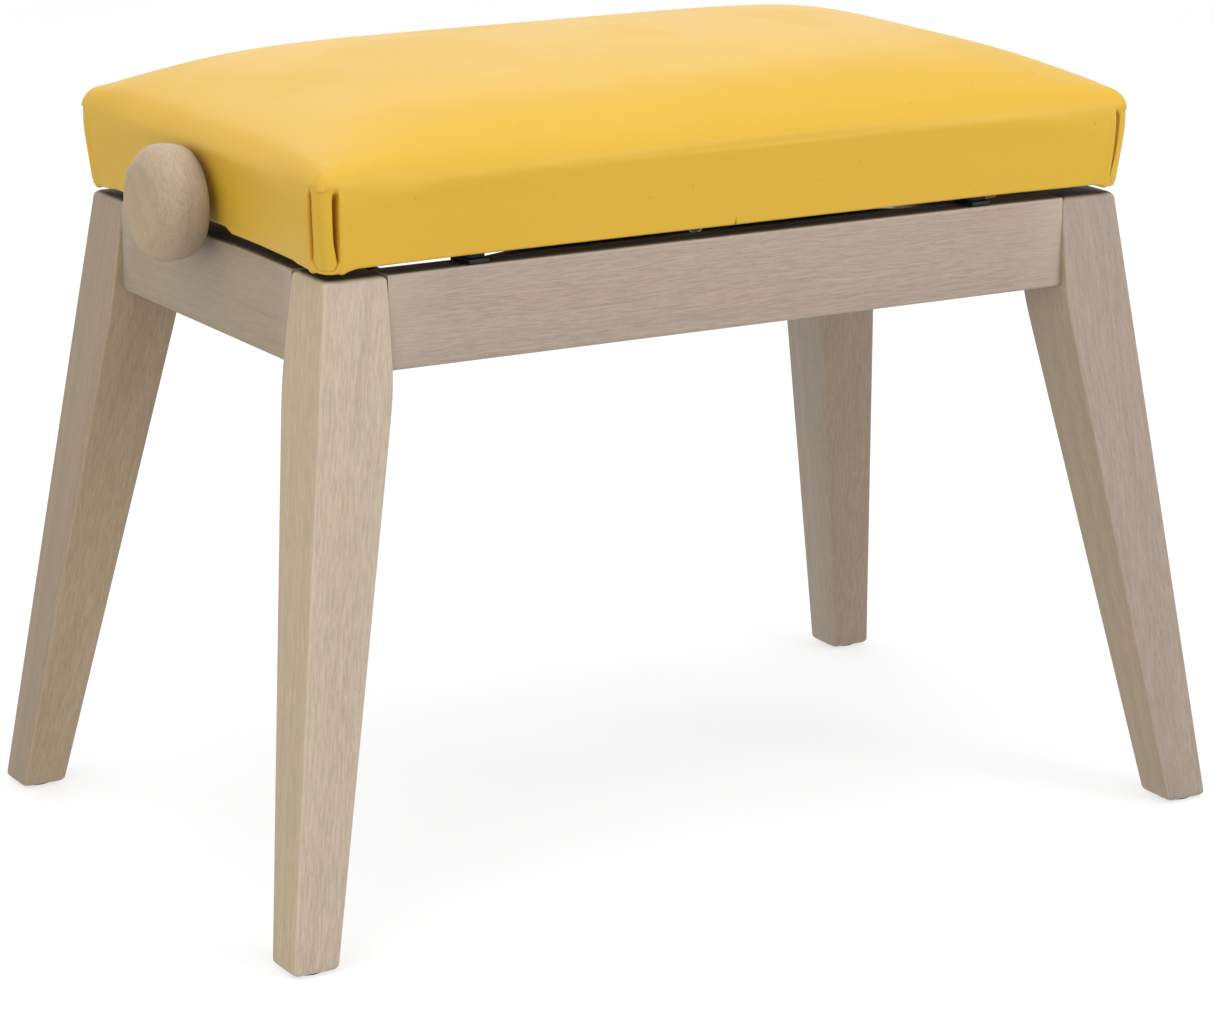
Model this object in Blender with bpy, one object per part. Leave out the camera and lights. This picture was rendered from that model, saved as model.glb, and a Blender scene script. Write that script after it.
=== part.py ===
"""Height-adjustable piano bench: four splayed wooden legs, a padded seat and a screw-driven scissor lift.

Metres, Z up. The origin is on the floor under the middle of the bench. X runs along the long side,
-Y is the front. The seat is drawn at its lowest height.
"""

import math

import bmesh
import bpy
from mathutils import Vector

# Driving dimensions of the wooden frame
FRAME_LENGTH = 0.550
FRAME_DEPTH = 0.318
LEG_TOP_Z = 0.391
LEG_TOP_X = 0.040
LEG_TOP_Y = 0.042
FOOT_X = 0.029
FOOT_Y = 0.0295
LEG_SPLAY = 0.130
KNEE_Z = 0.328
KNEE_SOFTNESS = 0.006
RAIL_HEIGHT = 0.056
RAIL_THICKNESS = 0.022
TENON_LENGTH = 0.018
TENON_THICKNESS = 0.010
TENON_HEIGHT = 0.036
CORNER_BLOCK_LEG = 0.046
CORNER_BLOCK_HEIGHT = 0.036
GLIDE_RADIUS = 0.011
GLIDE_THICKNESS = 0.0010
WOOD_ROUNDING = 0.0025

# Driving dimensions of the seat
SEAT_BOTTOM_Z = 0.3972
SEAT_BOTTOM_LENGTH = 0.550
SEAT_BOTTOM_DEPTH = 0.319
SEAT_LENGTH = 0.559
SEAT_DEPTH = 0.327
SEAT_EDGE_Z = 0.4584
SEAT_EDGE_RADIUS = 0.024
SEAT_CORNER_RADIUS = 0.014
CROWN_HEIGHT = 0.0285
CROWN_POWER = 5
COVER_THICKNESS = 0.0012
COVER_HEM = 0.012
BOARD_THICKNESS = 0.009
BOARD_TOP_Z = 0.4395
SKIRT_THICKNESS = 0.015
NOTCH_LENGTH = 0.080
NOTCH_HEIGHT = 0.003

# Driving dimensions of the lift
LIFT_TRAVEL = 0.100
ARM_LENGTH = 0.390
ARM_HEIGHT = 0.016
ARM_THICKNESS = 0.006
ARM_RISE = 0.043
OUTER_ARM_Y = 0.1065
INNER_ARM_Y = 0.0995
PLATE_Y = 0.111
PLATE_THICKNESS = 0.003
PLATE_LENGTH = 0.420
PLATE_HEIGHT = 0.028
PLATE_FLANGE = 0.016
LOWER_PLATE_DROP = 0.016
UPPER_PLATE_DROP = 0.0115
SLIDE_SLOT_MARGIN = 0.002
ROD_RADIUS = 0.0045
ROD_HEAD_RADIUS = 0.007
ROD_HEAD_THICKNESS = 0.002
LOOSE_PIVOT_PLAY = 0.0012
NUT_SIZE = 0.022
NUT_ROUNDING = 0.002

# Driving dimensions of the screw and its knobs
SPINDLE_Z = 0.412
SPINDLE_RADIUS = 0.006
SPINDLE_LENGTH = 0.600
BUSH_RADIUS = 0.008
BUSH_LENGTH = 0.007
COLLAR_RADIUS = 0.010
COLLAR_WIDTH = 0.006
SPINDLE_HOLE_PLAY = 0.003
KNOB_RADIUS = 0.0347
KNOB_THICKNESS = 0.031
KNOB_FACE_X = 0.315
KNOB_FACE_RADIUS = 0.0237
KNOB_FACE_TO_WIDEST = 0.0148
KNOB_BACK_RADIUS = 0.0292
KNOB_BORE_DEPTH = 0.0195

# Driving dimensions of the hanging brackets and stops
BRACKET_X = 0.175
BRACKET_WIDTH = 0.013
BRACKET_THICKNESS = 0.0025
BRACKET_TAB = 0.0205
STOP_LENGTH = 0.012
STOP_DEPTH = 0.012
SCREW_RADIUS = 0.002
SCREW_HEAD_RADIUS = 0.0042
SCREW_HEAD_THICKNESS = 0.0024
SCREW_LENGTH = 0.014
SCREW_RISE = 0.006

# Clearance between neighbouring pieces, and the reach of cutters that go right through
GAP = 0.0003
CUT_THROUGH = 0.010
CUT_ACROSS = 0.200
ROUND_SEGMENTS = 24
KNOB_SEGMENTS = 32

# Sizes worked out from the driving dimensions
RAIL_BOTTOM_Z = LEG_TOP_Z - RAIL_HEIGHT
HALF_LENGTH = FRAME_LENGTH / 2
HALF_DEPTH = FRAME_DEPTH / 2
SKIRT_X = SEAT_BOTTOM_LENGTH / 2 - COVER_THICKNESS - GAP
SKIRT_Y = SEAT_BOTTOM_DEPTH / 2 - COVER_THICKNESS - GAP
SKIRT_BOTTOM_Z = SEAT_BOTTOM_Z + COVER_THICKNESS + GAP
BOARD_BOTTOM_Z = BOARD_TOP_Z - BOARD_THICKNESS
PIVOT_X = -ARM_LENGTH / 2
LOWER_PIVOT_Z = SPINDLE_Z - ARM_RISE
LOW_ANGLE = math.asin(ARM_RISE / ARM_LENGTH)
HIGH_ANGLE = math.asin((ARM_RISE + LIFT_TRAVEL) / ARM_LENGTH)
SLIDE_X_LOW_SEAT = PIVOT_X + ARM_LENGTH * math.cos(LOW_ANGLE)
SLIDE_X_HIGH_SEAT = PIVOT_X + ARM_LENGTH * math.cos(HIGH_ANGLE)
CENTRE_X = PIVOT_X + ARM_LENGTH / 2 * math.cos(LOW_ANGLE)
CENTRE_Z = LOWER_PIVOT_Z + ARM_RISE / 2
PLATE_END_X = PLATE_LENGTH / 2
LOWER_PLATE_Z = LOWER_PIVOT_Z - LOWER_PLATE_DROP
UPPER_PLATE_Z = SPINDLE_Z - UPPER_PLATE_DROP
UPPER_PLATE_TOP_Z = BOARD_BOTTOM_Z - GAP
ROD_END_Y = PLATE_Y + PLATE_THICKNESS + GAP
BRACKET_TOP_Z = LEG_TOP_Z + GAP + BRACKET_THICKNESS
SCREW_Z = LOWER_PIVOT_Z + SCREW_RISE

CORNERS = (("front_left", -1, -1), ("front_right", 1, -1), ("back_left", -1, 1), ("back_right", 1, 1))
LONG_SIDES = (("front", -1), ("back", 1))
ENDS = (("left", -1), ("right", 1))


# ---------------------------------------------------------------- scene and materials


def clear_scene():
    for obj in list(bpy.data.objects):
        bpy.data.objects.remove(obj, do_unlink=True)


def make_material(name, colour, roughness, metallic=0.0):
    material = bpy.data.materials.new(name)
    material.use_nodes = True
    shader = material.node_tree.nodes["Principled BSDF"]
    shader.inputs["Base Color"].default_value = (*colour, 1.0)
    shader.inputs["Roughness"].default_value = roughness
    shader.inputs["Metallic"].default_value = metallic
    return material


def make_materials():
    return {
        "limed_beech": make_material("limed_beech", (0.47, 0.38, 0.29), 0.55),
        "beech_block": make_material("beech_block", (0.52, 0.38, 0.25), 0.65),
        "plywood": make_material("plywood", (0.58, 0.43, 0.27), 0.7),
        "yellow_vinyl": make_material("yellow_vinyl", (0.83, 0.50, 0.06), 0.42),
        "foam": make_material("foam", (0.80, 0.74, 0.55), 0.9),
        "black_steel": make_material("black_steel", (0.012, 0.012, 0.013), 0.45, 0.3),
        "zinc_steel": make_material("zinc_steel", (0.60, 0.60, 0.58), 0.35, 1.0),
        "black_nylon": make_material("black_nylon", (0.02, 0.02, 0.02), 0.55),
        "black_rubber": make_material("black_rubber", (0.015, 0.015, 0.015), 0.85),
    }


# ---------------------------------------------------------------- shape helpers


def finish_mesh(name, shape, material, smooth_angle=None):
    """Makes an object from a bmesh, with its faces turned outwards."""
    bmesh.ops.recalc_face_normals(shape, faces=shape.faces)
    mesh = bpy.data.meshes.new(name)
    shape.to_mesh(mesh)
    shape.free()
    if smooth_angle is not None:
        mesh.shade_smooth()
        mesh.set_sharp_from_angle(angle=math.radians(smooth_angle))
    obj = bpy.data.objects.new(name, mesh)
    bpy.context.scene.collection.objects.link(obj)
    if material is not None:
        mesh.materials.append(material)
    return obj


def make_loft(name, rings, material, smooth_angle=None):
    """A closed solid through rings of points that all have the same number of points, flat at both ends."""
    shape = bmesh.new()
    loops = [[shape.verts.new(point) for point in ring] for ring in rings]
    count = len(loops[0])
    for lower, upper in zip(loops, loops[1:]):
        for i in range(count):
            j = (i + 1) % count
            shape.faces.new((lower[i], lower[j], upper[j], upper[i]))
    shape.faces.new(loops[0])
    shape.faces.new(loops[-1])
    return finish_mesh(name, shape, material, smooth_angle)


def make_prism(name, outline, place, low, high, material, smooth_angle=None):
    """Extrudes a 2-D outline. place(u, v, w) turns outline and depth coordinates into a point."""
    rings = [[place(u, v, w) for u, v in outline] for w in (low, high)]
    return make_loft(name, rings, material, smooth_angle)


def make_box(name, low, high, material):
    outline = ((low[0], low[1]), (high[0], low[1]), (high[0], high[1]), (low[0], high[1]))
    return make_prism(name, outline, lambda x, y, z: (x, y, z), low[2], high[2], material)


def make_turned(name, axis, centre, profile, material, segments=ROUND_SEGMENTS):
    """Turns a profile of (distance along the axis, radius) points about the X, Y or Z axis through centre."""
    sideways = {"X": (1, 2), "Y": (2, 0), "Z": (0, 1)}[axis]
    along = "XYZ".index(axis)
    rings = []
    for distance, radius in profile:
        ring = []
        for i in range(segments):
            angle = math.tau * (i + 0.5) / segments
            point = Vector(centre)
            point[along] += distance
            point[sideways[0]] += radius * math.cos(angle)
            point[sideways[1]] += radius * math.sin(angle)
            ring.append(point)
        rings.append(ring)
    return make_loft(name, rings, material, smooth_angle=35)


def make_cutter(obj):
    obj.hide_render = True
    obj.display_type = "WIRE"
    return obj


def add_boolean(obj, other, operation):
    make_cutter(other)
    modifier = obj.modifiers.new(operation.lower() + "_" + other.name, "BOOLEAN")
    modifier.operation = operation
    modifier.solver = "EXACT"
    modifier.object = other


def cut_round_hole(obj, axis, centre, radius, half_length):
    profile = ((-half_length, radius), (half_length, radius))
    cutter = make_turned(obj.name + "_hole_cutter", axis, centre, profile, None)
    add_boolean(obj, cutter, "DIFFERENCE")


def cut_box(obj, low, high):
    add_boolean(obj, make_box(obj.name + "_slot_cutter", low, high, None), "DIFFERENCE")


def add_bevel(obj, width, segments=2):
    modifier = obj.modifiers.new("edge_rounding", "BEVEL")
    modifier.width = width
    modifier.segments = segments
    modifier.limit_method = "ANGLE"
    modifier.angle_limit = math.radians(30)
    modifier.use_clamp_overlap = True
    return modifier


def make_axis_empty(name, location, parent=None):
    empty = bpy.data.objects.new(name, None)
    bpy.context.scene.collection.objects.link(empty)
    empty.location = location
    bpy.context.view_layer.update()
    if parent is not None:
        attach(empty, parent)
    return empty


def attach(obj, parent):
    """Parents obj without moving it."""
    bpy.context.view_layer.update()
    obj.parent = parent
    obj.matrix_parent_inverse = parent.matrix_world.inverted()


def attach_all(objects, parent):
    for obj in objects:
        attach(obj, parent)


def stadium(centre_a, centre_b, radius, steps=10):
    """Outline of a bar with round ends, between two points of a plane."""
    direction = math.atan2(centre_b[1] - centre_a[1], centre_b[0] - centre_a[0])
    outline = []
    for centre, start in ((centre_b, direction - math.pi / 2), (centre_a, direction + math.pi / 2)):
        for i in range(steps + 1):
            angle = start + math.pi * i / steps
            outline.append((centre[0] + radius * math.cos(angle), centre[1] + radius * math.sin(angle)))
    return outline


# ---------------------------------------------------------------- wooden frame


def leg_inner_offset(z, foot_inner, top_inner):
    """Upright beside the rails, then tapering straight to the foot after a softly rounded knee."""
    slope = (foot_inner - top_inner) / KNEE_Z
    return top_inner + slope * KNEE_SOFTNESS * math.log1p(math.exp((KNEE_Z - z) / KNEE_SOFTNESS))


def leg_section(z):
    """Distances of the leg's inner and outer faces from the middle of the bench, along X and along Y."""
    foot_out = LEG_SPLAY * LEG_TOP_Z
    flare = LEG_SPLAY * (LEG_TOP_Z - z)
    inner_x = leg_inner_offset(z, HALF_LENGTH + foot_out - FOOT_X, HALF_LENGTH - LEG_TOP_X)
    inner_y = leg_inner_offset(z, HALF_DEPTH + foot_out - FOOT_Y, HALF_DEPTH - LEG_TOP_Y)
    return inner_x, HALF_LENGTH + flare, inner_y, HALF_DEPTH + flare


def make_leg(corner, side_x, side_y, material):
    knee_levels = [KNEE_Z + KNEE_SOFTNESS * step for step in range(-4, 5)]
    rings = []
    for z in [GLIDE_THICKNESS + GAP, *knee_levels, LEG_TOP_Z]:
        inner_x, outer_x, inner_y, outer_y = leg_section(z)
        corners = ((inner_x, inner_y), (outer_x, inner_y), (outer_x, outer_y), (inner_x, outer_y))
        rings.append([(side_x * x, side_y * y, z) for x, y in corners])
    leg = make_loft("leg_" + corner, rings, material)
    add_bevel(leg, WOOD_ROUNDING)
    cut_mortises(leg, side_x, side_y)
    return leg


def tenon_span():
    """Heights of the tenons' lower and upper faces."""
    middle = (RAIL_BOTTOM_Z + LEG_TOP_Z) / 2
    return middle - TENON_HEIGHT / 2, middle + TENON_HEIGHT / 2


def cut_mortises(leg, side_x, side_y):
    low_z, high_z = tenon_span()
    depth = TENON_LENGTH + 2 * GAP
    across = TENON_THICKNESS / 2 + GAP
    shoulder_x = HALF_LENGTH - LEG_TOP_X
    shoulder_y = HALF_DEPTH - LEG_TOP_Y
    centre_x = HALF_LENGTH - RAIL_THICKNESS / 2
    centre_y = HALF_DEPTH - RAIL_THICKNESS / 2
    spans = (
        ((shoulder_x - depth, shoulder_x + depth), (centre_y - across, centre_y + across)),
        ((centre_x - across, centre_x + across), (shoulder_y - depth, shoulder_y + depth)),
    )
    for span_x, span_y in spans:
        xs = sorted(side_x * x for x in span_x)
        ys = sorted(side_y * y for y in span_y)
        cut_box(leg, (xs[0], ys[0], low_z - GAP), (xs[1], ys[1], high_z + GAP))


def make_long_rail(name, side_y, material):
    end_x = HALF_LENGTH - LEG_TOP_X - GAP
    ys = sorted((side_y * HALF_DEPTH, side_y * (HALF_DEPTH - RAIL_THICKNESS)))
    rail = make_box("rail_" + name, (-end_x, ys[0], RAIL_BOTTOM_Z), (end_x, ys[1], LEG_TOP_Z), material)
    add_bevel(rail, WOOD_ROUNDING / 2)
    low_z, high_z = tenon_span()
    tenon_end = end_x + TENON_LENGTH
    middle_y = side_y * (HALF_DEPTH - RAIL_THICKNESS / 2)
    half = TENON_THICKNESS / 2
    low = (-tenon_end, middle_y - half, low_z)
    high = (tenon_end, middle_y + half, high_z)
    tenon = make_box(rail.name + "_tenons", low, high, None)
    add_boolean(rail, tenon, "UNION")
    for side_x in (-1, 1):
        inner_y = side_y * (HALF_DEPTH - RAIL_THICKNESS)
        centre = (side_x * BRACKET_X, inner_y, SCREW_Z)
        cut_round_hole(rail, "Y", centre, SCREW_RADIUS + GAP, SCREW_LENGTH)
    return rail


def make_short_rail(name, side_x, material):
    end_y = HALF_DEPTH - LEG_TOP_Y - GAP
    xs = sorted((side_x * HALF_LENGTH, side_x * (HALF_LENGTH - RAIL_THICKNESS)))
    rail = make_box("rail_" + name, (xs[0], -end_y, RAIL_BOTTOM_Z), (xs[1], end_y, LEG_TOP_Z), material)
    add_bevel(rail, WOOD_ROUNDING / 2)
    low_z, high_z = tenon_span()
    tenon_end = end_y + TENON_LENGTH
    middle_x = side_x * (HALF_LENGTH - RAIL_THICKNESS / 2)
    half = TENON_THICKNESS / 2
    low = (middle_x - half, -tenon_end, low_z)
    high = (middle_x + half, tenon_end, high_z)
    tenon = make_box(rail.name + "_tenons", low, high, None)
    add_boolean(rail, tenon, "UNION")
    return rail


def make_corner_block(corner, side_x, side_y, material):
    """A glued block across the inside of the corner, notched around the leg."""
    leg_x = HALF_LENGTH - LEG_TOP_X - GAP
    leg_y = HALF_DEPTH - LEG_TOP_Y - GAP
    rail_x = HALF_LENGTH - RAIL_THICKNESS - GAP
    rail_y = HALF_DEPTH - RAIL_THICKNESS - GAP
    outline = (
        (leg_x, rail_y),
        (leg_x - CORNER_BLOCK_LEG, rail_y),
        (rail_x, leg_y - CORNER_BLOCK_LEG),
        (rail_x, leg_y),
        (leg_x, leg_y),
    )
    middle = (RAIL_BOTTOM_Z + LEG_TOP_Z) / 2
    low = middle - CORNER_BLOCK_HEIGHT / 2
    high = middle + CORNER_BLOCK_HEIGHT / 2
    return make_prism(
        "corner_block_" + corner, outline, lambda x, y, z: (side_x * x, side_y * y, z), low, high, material
    )


def make_glide(corner, side_x, side_y, material):
    inner_x, outer_x, inner_y, outer_y = leg_section(0.0)
    centre = (side_x * (inner_x + outer_x) / 2, side_y * (inner_y + outer_y) / 2, 0.0)
    profile = ((0.0, GLIDE_RADIUS), (GLIDE_THICKNESS, GLIDE_RADIUS))
    return make_turned("glide_" + corner, "Z", centre, profile, material)


def build_wooden_frame(materials):
    wood = materials["limed_beech"]
    for corner, side_x, side_y in CORNERS:
        make_leg(corner, side_x, side_y, wood)
        make_corner_block(corner, side_x, side_y, materials["beech_block"])
        make_glide(corner, side_x, side_y, materials["black_nylon"])
    for name, side_y in LONG_SIDES:
        make_long_rail(name, side_y, wood)
    for name, side_x in ENDS:
        make_short_rail(name, side_x, wood)


# ---------------------------------------------------------------- lower mechanism frame


def cut_slide_slot(plate, z, half_height):
    """The slot in which a sliding rod travels along a plate."""
    reach = ROD_RADIUS + SLIDE_SLOT_MARGIN
    low_x = SLIDE_X_HIGH_SEAT - reach
    high_x = SLIDE_X_LOW_SEAT + reach
    cut_box(plate, (low_x, -CUT_ACROSS, z - half_height), (high_x, CUT_ACROSS, z + half_height))


def make_lower_plate(name, side_y, material):
    ys = sorted((side_y * PLATE_Y, side_y * (PLATE_Y + PLATE_THICKNESS)))
    low = (-PLATE_END_X, ys[0], LOWER_PLATE_Z)
    high = (PLATE_END_X, ys[1], LOWER_PLATE_Z + PLATE_HEIGHT)
    plate = make_box("lower_plate_" + name, low, high, material)
    cut_round_hole(plate, "Y", (PIVOT_X, side_y * PLATE_Y, LOWER_PIVOT_Z), ROD_RADIUS + GAP, CUT_THROUGH)
    cut_slide_slot(plate, LOWER_PIVOT_Z, ROD_RADIUS + 2 * GAP)
    return plate


def make_lower_tie(name, side_x, material):
    xs = sorted((side_x * PLATE_END_X, side_x * (PLATE_END_X - PLATE_THICKNESS)))
    end_y = PLATE_Y - GAP
    low = (xs[0], -end_y, LOWER_PLATE_Z)
    high = (xs[1], end_y, LOWER_PLATE_Z + PLATE_HEIGHT)
    return make_box("lower_tie_" + name, low, high, material)


def make_bracket(corner, side_x, side_y, material):
    """A flat bar bent over the rail, down its inside and in under the mechanism to carry the plate."""
    wall = HALF_DEPTH - RAIL_THICKNESS - GAP
    inside = wall - BRACKET_THICKNESS
    foot_end = PLATE_Y + PLATE_THICKNESS + GAP
    foot_top = LOWER_PLATE_Z + BRACKET_THICKNESS
    tab_end = wall + BRACKET_TAB
    outline = (
        (tab_end, BRACKET_TOP_Z),
        (inside, BRACKET_TOP_Z),
        (inside, foot_top),
        (foot_end, foot_top),
        (foot_end, LOWER_PLATE_Z),
        (wall, LOWER_PLATE_Z),
        (wall, BRACKET_TOP_Z - BRACKET_THICKNESS),
        (tab_end, BRACKET_TOP_Z - BRACKET_THICKNESS),
    )
    middle = side_x * BRACKET_X
    start = middle - BRACKET_WIDTH / 2
    end = middle + BRACKET_WIDTH / 2
    bracket = make_prism(
        "bracket_" + corner, outline, lambda y, z, x: (x, side_y * y, z), start, end, material
    )
    cut_round_hole(bracket, "Y", (middle, side_y * wall, SCREW_Z), SCREW_RADIUS + GAP, CUT_THROUGH)
    return bracket


def make_bracket_screw(corner, side_x, side_y, material):
    head_base = BRACKET_THICKNESS + 2 * GAP
    wall = HALF_DEPTH - RAIL_THICKNESS
    profile = [
        (head_base + SCREW_HEAD_THICKNESS, SCREW_HEAD_RADIUS * 0.7),
        (head_base + SCREW_HEAD_THICKNESS / 2, SCREW_HEAD_RADIUS),
        (head_base, SCREW_HEAD_RADIUS),
        (head_base, SCREW_RADIUS),
        (head_base - SCREW_LENGTH, SCREW_RADIUS),
    ]
    outward = [(-side_y * distance, radius) for distance, radius in profile]
    centre = (side_x * BRACKET_X, side_y * wall, SCREW_Z)
    return make_turned("bracket_screw_" + corner, "Y", centre, outward, material, segments=16)


def make_stop(corner, side_x, side_y, material):
    """The rubber pad on a bracket, on which the lowered seat comes to rest."""
    centre_y = side_y * (HALF_DEPTH - RAIL_THICKNESS / 2)
    centre_x = side_x * BRACKET_X
    low = (centre_x - STOP_LENGTH / 2, centre_y - STOP_DEPTH / 2, BRACKET_TOP_Z + GAP)
    high = (centre_x + STOP_LENGTH / 2, centre_y + STOP_DEPTH / 2, SEAT_BOTTOM_Z - GAP)
    return make_box("seat_stop_" + corner, low, high, material)


def build_lower_frame(materials):
    steel = materials["black_steel"]
    for name, side_y in LONG_SIDES:
        make_lower_plate(name, side_y, steel)
    for name, side_x in ENDS:
        make_lower_tie(name, side_x, steel)
    for corner, side_x, side_y in CORNERS:
        make_bracket(corner, side_x, side_y, steel)
        make_bracket_screw(corner, side_x, side_y, materials["zinc_steel"])
        make_stop(corner, side_x, side_y, materials["black_rubber"])


# ---------------------------------------------------------------- scissor arms


def make_arm(name, start, end, centre_y, material):
    outline = stadium(start, end, ARM_HEIGHT / 2)
    half = ARM_THICKNESS / 2
    arm = make_prism(
        name, outline, lambda x, z, y: (x, y, z), centre_y - half, centre_y + half, material, smooth_angle=35
    )
    for x, z in (start, (CENTRE_X, CENTRE_Z), end):
        cut_round_hole(arm, "Y", (x, centre_y, z), ROD_RADIUS + GAP, ARM_THICKNESS)
    return arm


def rod_profile(end_y):
    """A plain rod with a flat riveted head at each end."""
    inner = end_y
    outer = end_y + ROD_HEAD_THICKNESS
    return (
        (-outer, ROD_HEAD_RADIUS),
        (-inner, ROD_HEAD_RADIUS),
        (-inner, ROD_RADIUS),
        (inner, ROD_RADIUS),
        (inner, ROD_HEAD_RADIUS),
        (outer, ROD_HEAD_RADIUS),
    )


def build_outer_arms(materials):
    """The pair that is hinged to the lower plates and lifts the nut bar."""
    steel = materials["black_steel"]
    rod_steel = materials["zinc_steel"]
    start = (PIVOT_X, LOWER_PIVOT_Z)
    end = (SLIDE_X_LOW_SEAT, SPINDLE_Z)
    pieces = []
    for name, side in LONG_SIDES:
        pieces.append(make_arm("outer_arm_" + name, start, end, side * OUTER_ARM_Y, steel))
    lower = make_turned(
        "lower_pivot_rod", "Y", (PIVOT_X, 0, LOWER_PIVOT_Z), rod_profile(ROD_END_Y), rod_steel
    )
    head_face = OUTER_ARM_Y + ARM_THICKNESS / 2 + GAP
    centre = make_turned(
        "centre_pivot_rod", "Y", (CENTRE_X, 0, CENTRE_Z), rod_profile(head_face), rod_steel
    )
    return [*pieces, lower, centre]


def build_inner_arms(materials):
    """The pair that crosses the first, hinged to the upper plates and sliding in the lower ones."""
    steel = materials["black_steel"]
    rod_steel = materials["zinc_steel"]
    start = (PIVOT_X, SPINDLE_Z)
    end = (SLIDE_X_LOW_SEAT, LOWER_PIVOT_Z)
    pieces = []
    for name, side in LONG_SIDES:
        pieces.append(make_arm("inner_arm_" + name, start, end, side * INNER_ARM_Y, steel))
    slide = make_turned(
        "lower_slide_rod", "Y", (SLIDE_X_LOW_SEAT, 0, LOWER_PIVOT_Z), rod_profile(ROD_END_Y), rod_steel
    )
    inner_head = INNER_ARM_Y - ARM_THICKNESS / 2 - GAP
    pin_middle = (inner_head + ROD_END_Y) / 2
    pin_half = (ROD_END_Y - inner_head) / 2
    for name, side in LONG_SIDES:
        centre = (PIVOT_X, side * pin_middle, SPINDLE_Z)
        pieces.append(make_turned("upper_pivot_pin_" + name, "Y", centre, rod_profile(pin_half), rod_steel))
    return [*pieces, slide]


def build_nut_bar(materials):
    """The cross bar between the outer arms' upper ends, whose middle is the nut that rides on the screw."""
    steel = materials["zinc_steel"]
    centre = (SLIDE_X_LOW_SEAT, 0, SPINDLE_Z)
    half = NUT_SIZE / 2
    low = (centre[0] - half, -half, SPINDLE_Z - half)
    high = (centre[0] + half, half, SPINDLE_Z + half)
    bar = make_box("nut_bar", low, high, steel)
    add_bevel(bar, NUT_ROUNDING)
    cross = make_turned("nut_bar_trunnions", "Y", centre, rod_profile(ROD_END_Y), steel)
    add_boolean(bar, cross, "UNION")
    cut_round_hole(bar, "X", centre, SPINDLE_RADIUS + LOOSE_PIVOT_PLAY, NUT_SIZE)
    return bar


# ---------------------------------------------------------------- seat


def rounded_rectangle(half_x, half_y, radius, corner_steps=5, long_steps=6, short_steps=4):
    """Points round a rounded rectangle, with extra points along the straight sides."""
    outline = []
    quarters = (
        (half_x - radius, half_y - radius, 0.0, long_steps),
        (radius - half_x, half_y - radius, math.pi / 2, short_steps),
        (radius - half_x, radius - half_y, math.pi, long_steps),
        (half_x - radius, radius - half_y, 3 * math.pi / 2, short_steps),
    )
    for index, (centre_x, centre_y, start, side_steps) in enumerate(quarters):
        for i in range(corner_steps + 1):
            angle = start + math.pi / 2 * i / corner_steps
            outline.append((centre_x + radius * math.cos(angle), centre_y + radius * math.sin(angle)))
        next_x, next_y, next_start, _ = quarters[(index + 1) % 4]
        first = outline[-1]
        last = (next_x + radius * math.cos(next_start), next_y + radius * math.sin(next_start))
        for i in range(1, side_steps):
            part = i / side_steps
            outline.append((first[0] + (last[0] - first[0]) * part, first[1] + (last[1] - first[1]) * part))
    return outline


def crown_z(x, y, half_x, half_y):
    """Height of the stuffed top: a nearly flat crown that rolls over at the edge."""
    into_x = max(abs(x) - (half_x - SEAT_EDGE_RADIUS), 0.0) / SEAT_EDGE_RADIUS
    into_y = max(abs(y) - (half_y - SEAT_EDGE_RADIUS), 0.0) / SEAT_EDGE_RADIUS
    into = min(math.hypot(into_x, into_y), 1.0)
    roll = SEAT_EDGE_RADIUS * (1 - math.sqrt(1 - into * into))
    crown = (1 - min(abs(x) / half_x, 1.0) ** CROWN_POWER) * (1 - min(abs(y) / half_y, 1.0) ** CROWN_POWER)
    return SEAT_EDGE_Z - roll + CROWN_HEIGHT * crown


def top_rings(inset, ring_count=9):
    """Rings over the crowned top, from a small one in the middle to the widest one."""
    half_x = SEAT_LENGTH / 2 - inset
    half_y = SEAT_DEPTH / 2 - inset
    outline = rounded_rectangle(half_x, half_y, SEAT_CORNER_RADIUS)
    rings = []
    for i in range(1, ring_count + 1):
        size = math.sin(math.pi / 2 * i / ring_count)
        ring = []
        for x, y in outline:
            z = crown_z(x * size, y * size, half_x, half_y) - inset
            ring.append((x * size, y * size, z))
        rings.append(ring)
    return rings


def side_ring(inset, z):
    """One ring of the cover's side, which leans outwards from the bottom edge to the widest ring."""
    widest_z = SEAT_EDGE_Z - SEAT_EDGE_RADIUS
    up = (z - SEAT_BOTTOM_Z) / (widest_z - SEAT_BOTTOM_Z)
    half_x = (SEAT_BOTTOM_LENGTH + (SEAT_LENGTH - SEAT_BOTTOM_LENGTH) * up) / 2 - inset
    half_y = (SEAT_BOTTOM_DEPTH + (SEAT_DEPTH - SEAT_BOTTOM_DEPTH) * up) / 2 - inset
    return [(x, y, z) for x, y in rounded_rectangle(half_x, half_y, SEAT_CORNER_RADIUS)]


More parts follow.
